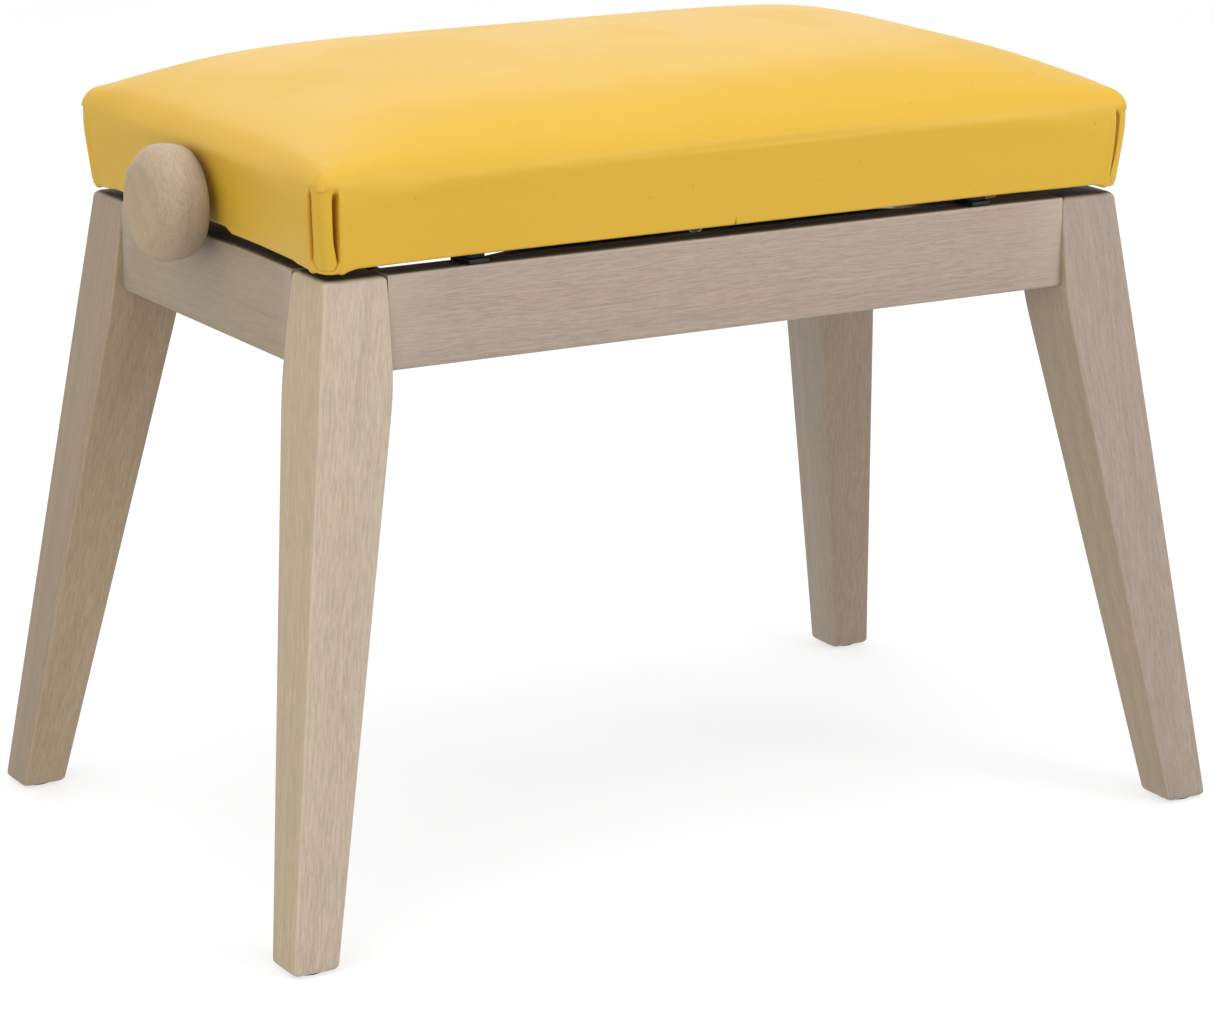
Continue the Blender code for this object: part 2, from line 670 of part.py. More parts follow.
def make_cover(material):
    """The vinyl skin: over the top, down the sides and folded in under the skirt boards."""
    hem_top = SEAT_BOTTOM_Z + COVER_THICKNESS
    rings = [
        *top_rings(0.0),
        side_ring(0.0, SEAT_BOTTOM_Z),
        side_ring(COVER_HEM, SEAT_BOTTOM_Z),
        side_ring(COVER_HEM, hem_top),
        side_ring(COVER_THICKNESS, hem_top),
        *reversed(top_rings(COVER_THICKNESS)),
    ]
    cover = make_loft("seat_cover", rings, material, smooth_angle=50)
    cut_round_hole(cover, "X", (0, 0, SPINDLE_Z), SPINDLE_RADIUS + SPINDLE_HOLE_PLAY, SEAT_LENGTH)
    for side_x in (-1, 1):
        xs = sorted((side_x * (SKIRT_X - SKIRT_THICKNESS), side_x * SEAT_LENGTH))
        low = (xs[0], -NOTCH_LENGTH / 2, SEAT_BOTTOM_Z - NOTCH_HEIGHT)
        high = (xs[1], NOTCH_LENGTH / 2, SEAT_BOTTOM_Z + NOTCH_HEIGHT)
        cut_box(cover, low, high)
    return cover


def make_foam(material):
    inset = COVER_THICKNESS + 2 * GAP
    bottom = BOARD_TOP_Z + GAP
    rings = [ring for ring in top_rings(inset) if min(point[2] for point in ring) > bottom]
    rim_x = SKIRT_X - SEAT_CORNER_RADIUS / 2
    rim_y = SKIRT_Y - SEAT_CORNER_RADIUS / 2
    rings.append([(x, y, bottom) for x, y in rounded_rectangle(rim_x, rim_y, SEAT_CORNER_RADIUS)])
    return make_loft("foam_pad", rings, material, smooth_angle=50)


def make_board(material):
    outline = rounded_rectangle(SKIRT_X, SKIRT_Y, SEAT_CORNER_RADIUS)
    return make_prism(
        "seat_board", outline, lambda x, y, z: (x, y, z), BOARD_BOTTOM_Z, BOARD_TOP_Z, material
    )


def make_long_skirt(name, side_y, material):
    """Front or back skirt board, rounded at its ends so that the cover turns the corner softly."""
    radius = SEAT_CORNER_RADIUS
    steps = 5
    outline = [(-SKIRT_X, SKIRT_Y - SKIRT_THICKNESS), (SKIRT_X, SKIRT_Y - SKIRT_THICKNESS)]
    for centre_x, start in ((SKIRT_X - radius, 0.0), (radius - SKIRT_X, math.pi / 2)):
        for i in range(steps + 1):
            angle = start + math.pi / 2 * i / steps
            outline.append((centre_x + radius * math.cos(angle), SKIRT_Y - radius + radius * math.sin(angle)))
    top = BOARD_BOTTOM_Z - GAP
    return make_prism(
        "skirt_" + name, outline, lambda x, y, z: (x, side_y * y, z), SKIRT_BOTTOM_Z, top, material
    )


def make_short_skirt(name, side_x, material):
    """Left or right skirt board, bored for the screw and relieved along the middle of its lower edge."""
    end_y = SKIRT_Y - SKIRT_THICKNESS - GAP
    xs = sorted((side_x * SKIRT_X, side_x * (SKIRT_X - SKIRT_THICKNESS)))
    low = (xs[0], -end_y, SKIRT_BOTTOM_Z)
    high = (xs[1], end_y, BOARD_BOTTOM_Z - GAP)
    skirt = make_box("skirt_" + name, low, high, material)
    centre = (side_x * SKIRT_X, 0, SPINDLE_Z)
    cut_round_hole(skirt, "X", centre, SPINDLE_RADIUS + SPINDLE_HOLE_PLAY, SKIRT_THICKNESS * 2)
    cut_box(
        skirt,
        (xs[0] - CUT_THROUGH, -NOTCH_LENGTH / 2, SKIRT_BOTTOM_Z - CUT_THROUGH),
        (xs[1] + CUT_THROUGH, NOTCH_LENGTH / 2, SEAT_BOTTOM_Z + NOTCH_HEIGHT),
    )
    return skirt


def make_upper_plate(name, side_y, material):
    """An angle bar: its flange lies against the board, its web carries the pivots."""
    web = PLATE_Y + PLATE_THICKNESS
    flange_end = web + PLATE_FLANGE
    outline = (
        (PLATE_Y, UPPER_PLATE_Z),
        (web, UPPER_PLATE_Z),
        (web, UPPER_PLATE_TOP_Z - PLATE_THICKNESS),
        (flange_end, UPPER_PLATE_TOP_Z - PLATE_THICKNESS),
        (flange_end, UPPER_PLATE_TOP_Z),
        (PLATE_Y, UPPER_PLATE_TOP_Z),
    )
    end = PLATE_END_X
    plate = make_prism(
        "upper_plate_" + name, outline, lambda y, z, x: (x, side_y * y, z), -end, end, material
    )
    centre = (PIVOT_X, side_y * PLATE_Y, SPINDLE_Z)
    cut_round_hole(plate, "Y", centre, ROD_RADIUS + LOOSE_PIVOT_PLAY, CUT_THROUGH)
    cut_slide_slot(plate, SPINDLE_Z, ROD_RADIUS + LOOSE_PIVOT_PLAY)
    return plate


def make_upper_tie(name, side_x, material):
    """The end plate that joins the two angle bars and holds the screw's bush."""
    xs = sorted((side_x * PLATE_END_X, side_x * (PLATE_END_X - PLATE_THICKNESS)))
    end_y = PLATE_Y - GAP
    low = (xs[0], -end_y, UPPER_PLATE_Z)
    high = (xs[1], end_y, UPPER_PLATE_TOP_Z)
    tie = make_box("upper_tie_" + name, low, high, material)
    cut_round_hole(tie, "X", (side_x * PLATE_END_X, 0, SPINDLE_Z), BUSH_RADIUS + GAP, CUT_THROUGH)
    return tie


def make_bush(name, side_x, material):
    middle = side_x * (PLATE_END_X - PLATE_THICKNESS / 2)
    half = BUSH_LENGTH / 2
    profile = ((-half, BUSH_RADIUS), (half, BUSH_RADIUS))
    bush = make_turned("spindle_bush_" + name, "X", (middle, 0, SPINDLE_Z), profile, material)
    cut_round_hole(bush, "X", (middle, 0, SPINDLE_Z), SPINDLE_RADIUS + GAP, BUSH_LENGTH)
    return bush


def build_seat(materials):
    wood = materials["plywood"]
    steel = materials["black_steel"]
    pieces = [
        make_cover(materials["yellow_vinyl"]),
        make_foam(materials["foam"]),
        make_board(wood),
    ]
    for name, side_y in LONG_SIDES:
        pieces.append(make_long_skirt(name, side_y, wood))
        pieces.append(make_upper_plate(name, side_y, steel))
    for name, side_x in ENDS:
        pieces.append(make_short_skirt(name, side_x, wood))
        pieces.append(make_upper_tie(name, side_x, steel))
        pieces.append(make_bush(name, side_x, materials["black_nylon"]))
    return pieces


# ---------------------------------------------------------------- screw and knobs


def knob_profile(steps=7):
    """From the blind bore across the back, out over the full belly and in to the flat outer face."""
    bore = SPINDLE_RADIUS + GAP
    profile = [(KNOB_BORE_DEPTH, bore), (0.0, bore)]
    widest = KNOB_THICKNESS - KNOB_FACE_TO_WIDEST
    for i in range(steps + 1):
        angle = math.pi / 2 * i / steps
        swell = (KNOB_RADIUS - KNOB_BACK_RADIUS) * math.sin(angle)
        profile.append((widest * (1 - math.cos(angle)), KNOB_BACK_RADIUS + swell))
    for i in range(1, steps + 1):
        angle = math.pi / 2 * i / steps
        swell = (KNOB_RADIUS - KNOB_FACE_RADIUS) * math.cos(angle)
        profile.append((widest + KNOB_FACE_TO_WIDEST * math.sin(angle), KNOB_FACE_RADIUS + swell))
    return profile


def make_knob(name, side_x, material):
    back = side_x * (KNOB_FACE_X - KNOB_THICKNESS)
    profile = [(side_x * distance, radius) for distance, radius in knob_profile()]
    return make_turned(
        "knob_" + name, "X", (back, 0, SPINDLE_Z), profile, material, segments=KNOB_SEGMENTS
    )


def make_collar(name, side_x, material):
    start = PLATE_END_X + (BUSH_LENGTH - PLATE_THICKNESS) / 2 + GAP
    middle = side_x * (start + COLLAR_WIDTH / 2)
    half = COLLAR_WIDTH / 2
    profile = ((-half, COLLAR_RADIUS), (half, COLLAR_RADIUS))
    collar = make_turned("spindle_collar_" + name, "X", (middle, 0, SPINDLE_Z), profile, material)
    cut_round_hole(collar, "X", (middle, 0, SPINDLE_Z), SPINDLE_RADIUS + GAP, COLLAR_WIDTH)
    return collar


def build_screw(materials):
    half = SPINDLE_LENGTH / 2
    profile = ((-half, SPINDLE_RADIUS), (half, SPINDLE_RADIUS))
    pieces = [make_turned("spindle", "X", (0, 0, SPINDLE_Z), profile, materials["zinc_steel"])]
    for name, side_x in ENDS:
        pieces.append(make_collar(name, side_x, materials["zinc_steel"]))
        pieces.append(make_knob(name, side_x, materials["limed_beech"]))
    return pieces


# ---------------------------------------------------------------- the bench


def main():
    clear_scene()
    materials = make_materials()
    build_wooden_frame(materials)
    build_lower_frame(materials)
    seat_axis = make_axis_empty("seat_height_axis", (0, 0, LEG_TOP_Z))
    outer_axis = make_axis_empty("outer_arm_axis", (PIVOT_X, 0, LOWER_PIVOT_Z))
    inner_axis = make_axis_empty("inner_arm_axis", (CENTRE_X, 0, CENTRE_Z), outer_axis)
    nut_axis = make_axis_empty("nut_bar_axis", (SLIDE_X_LOW_SEAT, 0, SPINDLE_Z), outer_axis)
    spindle_axis = make_axis_empty("spindle_axis", (0, 0, SPINDLE_Z), seat_axis)
    attach_all(build_seat(materials), seat_axis)
    attach_all(build_outer_arms(materials), outer_axis)
    attach_all(build_inner_arms(materials), inner_axis)
    attach_all([build_nut_bar(materials)], nut_axis)
    attach_all(build_screw(materials), spindle_axis)


main()
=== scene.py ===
"""Looks of the piano bench: limed beech frame, yellow vinyl seat with pleated corners, black steel lift.

Metres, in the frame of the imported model: Z up, -Y is the front, X runs from the left knob to the right one.
"""

import math
import random

import bmesh
import bpy
import numpy as np
from mathutils import Matrix, Vector, kdtree


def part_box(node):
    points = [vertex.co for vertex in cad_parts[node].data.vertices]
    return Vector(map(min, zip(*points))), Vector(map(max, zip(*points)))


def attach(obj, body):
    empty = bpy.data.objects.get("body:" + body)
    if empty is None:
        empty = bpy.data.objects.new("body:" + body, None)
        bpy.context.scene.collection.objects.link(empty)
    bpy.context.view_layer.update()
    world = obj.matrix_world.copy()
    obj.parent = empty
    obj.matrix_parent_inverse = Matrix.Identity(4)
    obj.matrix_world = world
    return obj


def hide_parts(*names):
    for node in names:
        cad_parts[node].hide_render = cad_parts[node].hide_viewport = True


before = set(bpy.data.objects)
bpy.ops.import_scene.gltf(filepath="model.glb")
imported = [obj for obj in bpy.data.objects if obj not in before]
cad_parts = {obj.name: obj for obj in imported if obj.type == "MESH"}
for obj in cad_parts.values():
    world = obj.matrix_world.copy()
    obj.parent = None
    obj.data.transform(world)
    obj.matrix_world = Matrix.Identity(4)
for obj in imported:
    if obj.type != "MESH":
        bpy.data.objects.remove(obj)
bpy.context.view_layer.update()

# ---------------- sizes from the frame

CORNERS = (("front_left", -1, -1), ("front_right", 1, -1), ("back_left", -1, 1), ("back_right", 1, 1))
LONG_SIDES = (("front", -1), ("back", 1))
ENDS = (("left", -1), ("right", 1))

HALF_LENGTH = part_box("rail_right")[1].x
HALF_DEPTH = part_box("rail_back")[1].y
RAIL_LOW_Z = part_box("rail_front")[0].z
LEG_TOP_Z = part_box("leg_front_left")[1].z
LEG_LOW_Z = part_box("leg_front_left")[0].z
RAIL_THICKNESS = HALF_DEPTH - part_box("rail_back")[0].y

# Legs: upright beside the rails, then tapering to a splayed foot below a soft knee
LEG_TOP_X = 0.040
LEG_TOP_Y = 0.042
FOOT_X = 0.029
FOOT_Y = 0.0295
LEG_SPLAY = 0.130
KNEE_Z = 0.328
KNEE_SOFTNESS = 0.006
LEG_EDGE_RADIUS = 0.0024
LEG_TOP_ROUNDING = 0.0036
LEG_FOOT_ROUNDING = 0.0034

# Timber tones, as multiples of the wood's colour: for faces turned along x, and for faces turned along y.
# They are partly the timber's own colour and partly painted light and shade, faces made lighter or darker as
# the light falls on them.
LEG_TONES_AND_SHADE = {
    "front_left": ((1.25, 1.27, 1.09), (1.23, 1.275, 1.27)),
    "front_right": ((1.04, 1.03, 0.93), (0.895, 0.91, 0.945)),
    "back_left": ((0.845, 0.81, 0.71), (0.975, 0.92, 0.77)),
    "back_right": ((0.98, 1.02, 1.03), (0.785, 0.77, 0.74)),
}
RAIL_TONES_AND_SHADE = {
    "front": ((0.98, 0.97, 0.86), (0.98, 0.99, 1.02)),
    "back": ((0.95, 0.95, 0.84), (0.95, 0.97, 1.00)),
    "left": ((0.90, 0.90, 0.80), (0.90, 0.92, 0.945)),
    "right": ((0.95, 0.95, 0.84), (0.95, 0.97, 1.00)),
}
KNOB_TONES_AND_SHADE = ((1.09, 1.04, 0.83), (1.09, 1.06, 0.99))
PLAIN_TONES = ((1.0, 1.0, 1.0), (1.0, 1.0, 1.0))
RAIL_EDGE_RADIUS = 0.0018
TENON_LENGTH = 0.018
TENON_THICKNESS = 0.010
TENON_HEIGHT = 0.036
TENON_EDGE_RADIUS = 0.0008
FIT_GAP = 0.0003
JOINT_GAP = 0.00005

# Seat
SEAT_LOW, SEAT_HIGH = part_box("seat_cover")
SEAT_BOTTOM_Z = SEAT_LOW.z
CORNER_FLARE = 0.003
FLARE_REACH = 0.085
SEAT_HALF_X = SEAT_HIGH.x + CORNER_FLARE
SEAT_HALF_Y = SEAT_HIGH.y + CORNER_FLARE
SEAT_LEAN_X = 0.0045
SEAT_LEAN_Y = 0.0040
LEAN_SOFTNESS = 0.12
EDGE_ROLL = 0.011
ROLL_POWER = 2.3
CORNER_SIZE = 0.024
CORNER_POWER = 6
CROWN_HEIGHT = 0.0330
CROWN_POWER_X = 5.6
CROWN_POWER_Y = 4.5
SEAT_EDGE_Z = SEAT_HIGH.z + 0.0006 - CROWN_HEIGHT
WIDEST_Z = SEAT_EDGE_Z - EDGE_ROLL
COVER_THICKNESS = 0.0012
HEM_WIDTH = 0.012
BOTTOM_ROUNDING = 0.0016
CORNER_BOTTOM_ROUNDING = 0.0036
LOBE_STEP = 0.0010
LOBE_DIP = 0.0013
NOTCH_HALF = 0.040
NOTCH_HEIGHT = 0.003
SKIRT_THICKNESS = 0.015
SKIRT_CORNER_RADIUS = 0.022

# Corner pleats: how far each slit is from the middle of the corner, at the top and at the bottom
SHORT_SLIT_TOP = -0.0106
SHORT_SLIT_LOW = -0.0115
LONG_SLIT_TOP = 0.0106
LONG_SLIT_LOW = 0.0086
PLEAT_TOP_Z = 0.4450
PLEAT_FULL_Z = 0.4365
SLIT_DEPTH = 0.0062
FOAM_CORNER_RELIEF = 0.010
SWELL_LIMIT = 0.0012
SIMULATED_FRAMES = 20

# Screw and knobs
SPINDLE_Z = (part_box("spindle")[0].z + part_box("spindle")[1].z) / 2
SPINDLE_RADIUS = 0.006
KNOB_LOW, KNOB_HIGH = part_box("knob_right")
KNOB_RADIUS = 0.0347
KNOB_FACE_RADIUS = 0.0237
KNOB_FACE_TO_WIDEST = 0.0148
KNOB_BACK_RADIUS = 0.0292
THREAD_LEAD = 0.004
THREAD_DEPTH = 0.0009

# Lift, fastenings and small things
ROD_RADIUS = 0.0045
ROD_HEAD_RADIUS = 0.007
ROD_FLAT_RADIUS = 0.0016
ROD_HEAD = 0.002
SCREW_HEAD_RADIUS = 0.0042
VENEER_PAIR = 0.003
LARGEST_FLAT_CAP = 200


# ---------------- node helpers


def new_material(name):
    material = bpy.data.materials.new(name)
    material.use_nodes = True
    return material, material.node_tree, material.node_tree.nodes["Principled BSDF"]


def add_node(tree, kind, inputs=None, **settings):
    """Adds a shader node. Inputs that are sockets are linked, and the others are set."""
    node = tree.nodes.new("ShaderNode" + kind)
    for key, value in settings.items():
        setattr(node, key, value)
    for key, value in (inputs or {}).items():
        if isinstance(value, bpy.types.NodeSocket):
            tree.links.new(value, node.inputs[key])
        else:
            node.inputs[key].default_value = value
    return node


def noise(tree, place, per_metre, detail=2.0, roughness=0.5):
    """Noise whose features come per_metre, along all or along each of the three directions of place."""
    scales = per_metre if isinstance(per_metre, tuple) else (per_metre,) * 3
    scaled = add_node(tree, "VectorMath", {0: place, 1: scales}, operation="MULTIPLY")
    inputs = {"Vector": scaled.outputs[0], "Scale": 1.0, "Detail": detail, "Roughness": roughness}
    return add_node(tree, "TexNoise", inputs).outputs["Fac"]


def cells(tree, place, per_metre):
    """Distance to the edges of irregular cells."""
    inputs = {"Vector": place, "Scale": per_metre}
    return add_node(tree, "TexVoronoi", inputs, feature="DISTANCE_TO_EDGE").outputs["Distance"]


def patches(tree, place, per_metre, low, high, detail=2.0, roughness=0.5):
    """Soft-edged patches of noise: 0 where it is below low, and 1 where it is above high."""
    return remap(tree, noise(tree, place, per_metre, detail, roughness), low, high)


def remap(tree, value, low, high, to_low=0.0, to_high=1.0):
    inputs = {"Value": value, "From Min": low, "From Max": high, "To Min": to_low, "To Max": to_high}
    return add_node(tree, "MapRange", inputs, interpolation_type="SMOOTHSTEP").outputs["Result"]


def spread(tree, mask, low, high):
    """Turns a mask from 0 to 1 into a value from low to high."""
    return remap(tree, mask, 0.0, 1.0, low, high)


def math_node(tree, operation, a, b):
    return add_node(tree, "Math", {0: a, 1: b}, operation=operation).outputs[0]


def times(tree, a, b):
    return math_node(tree, "MULTIPLY", a, b)


def mix_colour(tree, factor, a, b, blend="MIX"):
    node = add_node(tree, "Mix", data_type="RGBA", blend_type=blend)
    for index, value in ((0, factor), (6, a), (7, b)):
        if isinstance(value, bpy.types.NodeSocket):
            tree.links.new(value, node.inputs[index])
        else:
            node.inputs[index].default_value = (*value, 1.0) if isinstance(value, tuple) else value
    return node.outputs[2]


def blend_in(tree, colour, mask, strength, other):
    return mix_colour(tree, times(tree, mask, strength), colour, other)


def multiply_colour(tree, colour, other):
    return mix_colour(tree, 1.0, colour, other, blend="MULTIPLY")


def part_of(colour, part):
    return tuple(part * channel for channel in colour)


def attribute(tree, name, output="Vector"):
    return add_node(tree, "Attribute", attribute_name=name).outputs[output]


def object_place(tree):
    return add_node(tree, "TexCoord").outputs["Object"]


def painted_shade_factor(tree):
    """Painted shade: a factor for colour, near 0 where a face looking upwards is closely covered, so that
    little light gets in, otherwise 1.
    """
    occlusion = add_node(tree, "AmbientOcclusion", {"Distance": 0.030}, samples=6).outputs["AO"]
    normal = add_node(tree, "NewGeometry").outputs["Normal"]
    normal_z = add_node(tree, "SeparateXYZ", {0: normal}).outputs[2]
    covered = math_node(tree, "SUBTRACT", 1.0, remap(tree, occlusion, 0.12, 0.80))
    faces_up = remap(tree, normal_z, 0.3, 0.8, 0.0, 0.95)
    return math_node(tree, "SUBTRACT", 1.0, times(tree, covered, faces_up))


def connect_surface(tree, shader, colour, roughness):
    tree.links.new(colour, shader.inputs["Base Color"])
    tree.links.new(roughness, shader.inputs["Roughness"])


def connect_bump(tree, shader, height, distance, strength=1.0):
    bump = add_node(tree, "Bump", {"Height": height, "Distance": distance, "Strength": strength})
    tree.links.new(bump.outputs["Normal"], shader.inputs["Normal"])


# ---------------- materials


def make_wood(name, pale, deep, warm, lime):
    """Straight-grained beech with a thin lime wash, along the x of the grain attribute."""
    material, tree, shader = new_material(name)
    grain = attribute(tree, "grain")
    sway = remap(tree, noise(tree, grain, (5.0, 20.0, 20.0)), 0.3, 0.7, -0.0016, 0.0016)
    swayed = add_node(tree, "CombineXYZ", {1: sway}).outputs[0]
    place = add_node(tree, "VectorMath", {0: grain, 1: swayed}, operation="ADD").outputs[0]
    bands = patches(tree, place, (1.1, 150.0, 26.0), 0.36, 0.66, detail=4.0, roughness=0.62)
    lines = patches(tree, place, (2.2, 420.0, 60.0), 0.60, 0.70, detail=1.0)
    fibres = patches(tree, place, (70.0, 900.0, 900.0), 0.32, 0.68, detail=3.0, roughness=0.7)
    clouds = patches(tree, grain, (10.0, 40.0, 40.0), 0.46, 0.74, detail=4.0, roughness=0.6)
    rays = patches(tree, place, (170.0, 1100.0, 520.0), 0.60, 0.70, detail=1.0)
    wash = patches(tree, place, (26.0, 520.0, 260.0), 0.58, 0.74)

    colour = mix_colour(tree, bands, pale, deep)
    colour = blend_in(tree, colour, clouds, 0.50, warm)
    colour = blend_in(tree, colour, lines, 0.13, part_of(deep, 0.62))
    colour = multiply_colour(tree, colour, spread(tree, fibres, 0.90, 1.09))
    colour = blend_in(tree, colour, rays, 0.24, part_of(warm, 0.66))
    colour = blend_in(tree, colour, wash, 0.20, lime)
    rubbed = spread(tree, clouds, 0.45, 0.70)
    colour = blend_in(tree, colour, attribute(tree, "edge", "Fac"), rubbed, lime)
    # partly painted light and shade: each face is multiplied by its piece's tone for the way it faces
    colour = multiply_colour(tree, colour, attribute(tree, "tone_and_shade", "Color"))
    # painted shade: the wood's colour is darkened on upward faces that are closely covered, such as the rail
    # tops under the seat
    colour = multiply_colour(tree, colour, painted_shade_factor(tree))
    connect_surface(tree, shader, colour, spread(tree, fibres, 0.48, 0.62))
    shader.inputs["Specular IOR Level"].default_value = 0.35
    height = math_node(tree, "SUBTRACT", times(tree, fibres, 0.6), times(tree, rays, 0.4))
    connect_bump(tree, shader, height, 0.00010, 0.6)
    return material


def make_plywood(name, pale, deep):
    """Veneers stacked through the thickness, which is z of the grain attribute."""
    material, tree, shader = new_material(name)
    grain = attribute(tree, "grain")
    depth = add_node(tree, "SeparateXYZ", {0: grain}).outputs[2]
    wobble = remap(tree, noise(tree, grain, 12.0), 0.3, 0.7, -0.0001, 0.0001)
    turns = times(tree, math_node(tree, "ADD", depth, wobble), math.tau / VENEER_PAIR)
    veneer = remap(tree, math_node(tree, "SINE", turns, 0.0), -0.15, 0.15)
    fibres = patches(tree, grain, (14.0, 520.0, 520.0), 0.3, 0.7, detail=3.0)
    colour = multiply_colour(tree, mix_colour(tree, veneer, pale, deep), spread(tree, fibres, 0.85, 1.08))
    connect_surface(tree, shader, colour, spread(tree, fibres, 0.62, 0.78))
    connect_bump(tree, shader, fibres, 0.00015, 0.6)
    return material


def make_vinyl(name, colour, deep, crease_shade):
    """Smooth artificial leather: a very fine pebble, faint clouding and a few specks, with painted shade: a
    warm, deep colour in folds and creases where ambient occlusion finds little light.
    """
    material, tree, shader = new_material(name)
    place = object_place(tree)
    cloud = patches(tree, place, 9.0, 0.35, 0.65, detail=3.0)
    speck = patches(tree, place, 330.0, 0.84, 0.88, detail=0.0)
    pebble = remap(tree, cells(tree, place, 1500.0), 0.0, 0.25)
    fine = noise(tree, place, 2600.0, detail=1.0)
    tint = mix_colour(tree, times(tree, cloud, 0.22), colour, deep)
    tint = blend_in(tree, tint, speck, 0.5, part_of(deep, 0.6))
    # painted shade: the colour turns deep and warm where the surface is closely covered, in folds and creases
    occlusion = add_node(tree, "AmbientOcclusion", {"Distance": 0.007}, samples=5).outputs["AO"]
    tint = mix_colour(tree, remap(tree, occlusion, 0.25, 0.85, 0.9, 0.0), tint, crease_shade)
    gloss = math_node(tree, "ADD", spread(tree, cloud, 0.40, 0.47), spread(tree, pebble, 0.05, 0.0))
    connect_surface(tree, shader, tint, gloss)
    shader.inputs["Specular IOR Level"].default_value = 0.26
    height = math_node(tree, "ADD", pebble, times(tree, fine, 0.6))
    connect_bump(tree, shader, height, 0.00003, 0.8)
    return material


def make_foam(name, pale, aged):
    material, tree, shader = new_material(name)
    place = object_place(tree)
    pits = remap(tree, cells(tree, place, 700.0), 0.0, 0.3)
    tint = mix_colour(tree, patches(tree, place, 14.0, 0.35, 0.65), pale, aged)
    # painted shade: the foam's colour is darker in its cell pits
    tint = multiply_colour(tree, tint, spread(tree, pits, 0.7, 1.0))
    connect_surface(tree, shader, tint, spread(tree, pits, 0.95, 0.85))
    connect_bump(tree, shader, pits, 0.0004)
    return material


def make_coating(name, colour, worn, roughness, texture_per_metre, bump):
    """Painted or moulded black surfaces: an even skin with a fine texture, lighter where edges are rubbed."""
    material, tree, shader = new_material(name)
    place = object_place(tree)
    skin = patches(tree, place, texture_per_metre, 0.3, 0.7)
    dust = patches(tree, place, 35.0, 0.4, 0.75, detail=4.0)
    tint = blend_in(tree, colour, dust, 0.35, part_of(colour, 2.2))
    tint = blend_in(tree, tint, attribute(tree, "edge", "Fac"), spread(tree, dust, 0.15, 0.7), (worn,) * 3)
    connect_surface(tree, shader, tint, spread(tree, dust, roughness - 0.05, roughness + 0.08))
    shader.inputs["Specular IOR Level"].default_value = 0.18
    connect_bump(tree, shader, skin, bump)
    return material


def make_zinc(name, bright, dull):
    """Zinc plate, slightly mottled, with fine drawing marks."""
    material, tree, shader = new_material(name)
    place = object_place(tree)
    mottle = patches(tree, place, 160.0, 0.35, 0.65, detail=3.0)
    marks = noise(tree, place, (90.0, 2400.0, 2400.0))
    connect_surface(tree, shader, mix_colour(tree, mottle, bright, dull), spread(tree, mottle, 0.34, 0.46))
    shader.inputs["Metallic"].default_value = 1.0
    connect_bump(tree, shader, marks, 0.00004)
    return material


def make_floor_material(name):
    material, tree, shader = new_material(name)
    cloud = patches(tree, object_place(tree), 3.0, 0.3, 0.7)
    tree.links.new(mix_colour(tree, cloud, (0.22,) * 3, (0.24,) * 3), shader.inputs["Base Color"])
    shader.inputs["Roughness"].default_value = 0.9
    shader.inputs["Specular IOR Level"].default_value = 0.1
    shader.inputs["Emission Color"].default_value = (1.0, 1.0, 1.0, 1.0)
    shader.inputs["Emission Strength"].default_value = 0.68
    return material


def make_materials():
    """One material for each slot. The four colours of a wood are its pale, deep, warm and limed parts."""
    limed = ((0.272, 0.214, 0.163), (0.249, 0.195, 0.147), (0.280, 0.203, 0.152), (0.330, 0.277, 0.228))
    plain = ((0.56, 0.40, 0.25), (0.46, 0.31, 0.18), (0.58, 0.37, 0.22), (0.64, 0.49, 0.33))
    makers = {
        "limed_beech": (make_wood, *limed),
        "beech_block": (make_wood, *plain),
        "plywood": (make_plywood, (0.62, 0.47, 0.30), (0.40, 0.26, 0.14)),
        # the yellow vinyl's third colour is painted shade for its folds and creases
        "yellow_vinyl": (make_vinyl, (0.455, 0.276, 0.0205), (0.420, 0.250, 0.0180), (0.42, 0.165, 0.008)),
        "foam": (make_foam, (0.80, 0.72, 0.50), (0.72, 0.60, 0.36)),
        "black_steel": (make_coating, (0.010, 0.010, 0.011), 0.03, 0.42, 1300.0, 0.00005),
        "black_nylon": (make_coating, (0.018, 0.018, 0.018), 0.04, 0.52, 2200.0, 0.00003),
        "black_rubber": (make_coating, (0.016, 0.016, 0.016), 0.03, 0.80, 1800.0, 0.00006),
        "zinc_steel": (make_zinc, (0.46, 0.46, 0.45), (0.36, 0.37, 0.38)),
    }
    return {slot: maker(slot, *values) for slot, (maker, *values) in makers.items()}


# ---------------- mesh helpers


def store_points(mesh, name, kind, field, values):
    data = mesh.attributes.new(name, kind, "POINT").data
    data.foreach_set(field, values.astype(np.float32).ravel())


def mark_edges(mesh):
    """Stores how rounded each point is, so that materials can show wear along edges."""
    flatness = np.abs([vertex.normal for vertex in mesh.vertices]).max(axis=1)
    store_points(mesh, "edge", "FLOAT", "value", np.clip((0.985 - flatness) / 0.2, 0.0, 1.0))


def mark_grain(mesh, along, across, seed, tones_and_shade=PLAIN_TONES):
    """Stores each point's place in the timber: x along the fibres, y through the yearly layers.

    Tones are the colours of this piece of timber, as multiples of the material's own, for faces turned along
    x and along y. They are partly the timber's own colour, as faces cut across the yearly layers in different
    ways differ a little, and partly painted light and shade, lighter or darker as the light falls on each
    face."""
    along = Vector(along).normalized()
    third = along.cross(Vector(across)).normalized()
    axes = np.array([along, third.cross(along), third])
    start = np.random.default_rng(seed).uniform(-0.8, 0.8, 3)
    points = np.array([vertex.co for vertex in mesh.vertices]) @ axes.T + start
    store_points(mesh, "grain", "FLOAT_VECTOR", "vector", points)
    facing = np.array([vertex.normal for vertex in mesh.vertices]) ** 2
    colours = facing @ np.array([*tones_and_shade, np.mean(tones_and_shade, axis=0)])
    store_points(mesh, "tone_and_shade", "FLOAT_COLOR", "color", np.insert(colours, 3, 1.0, axis=1))


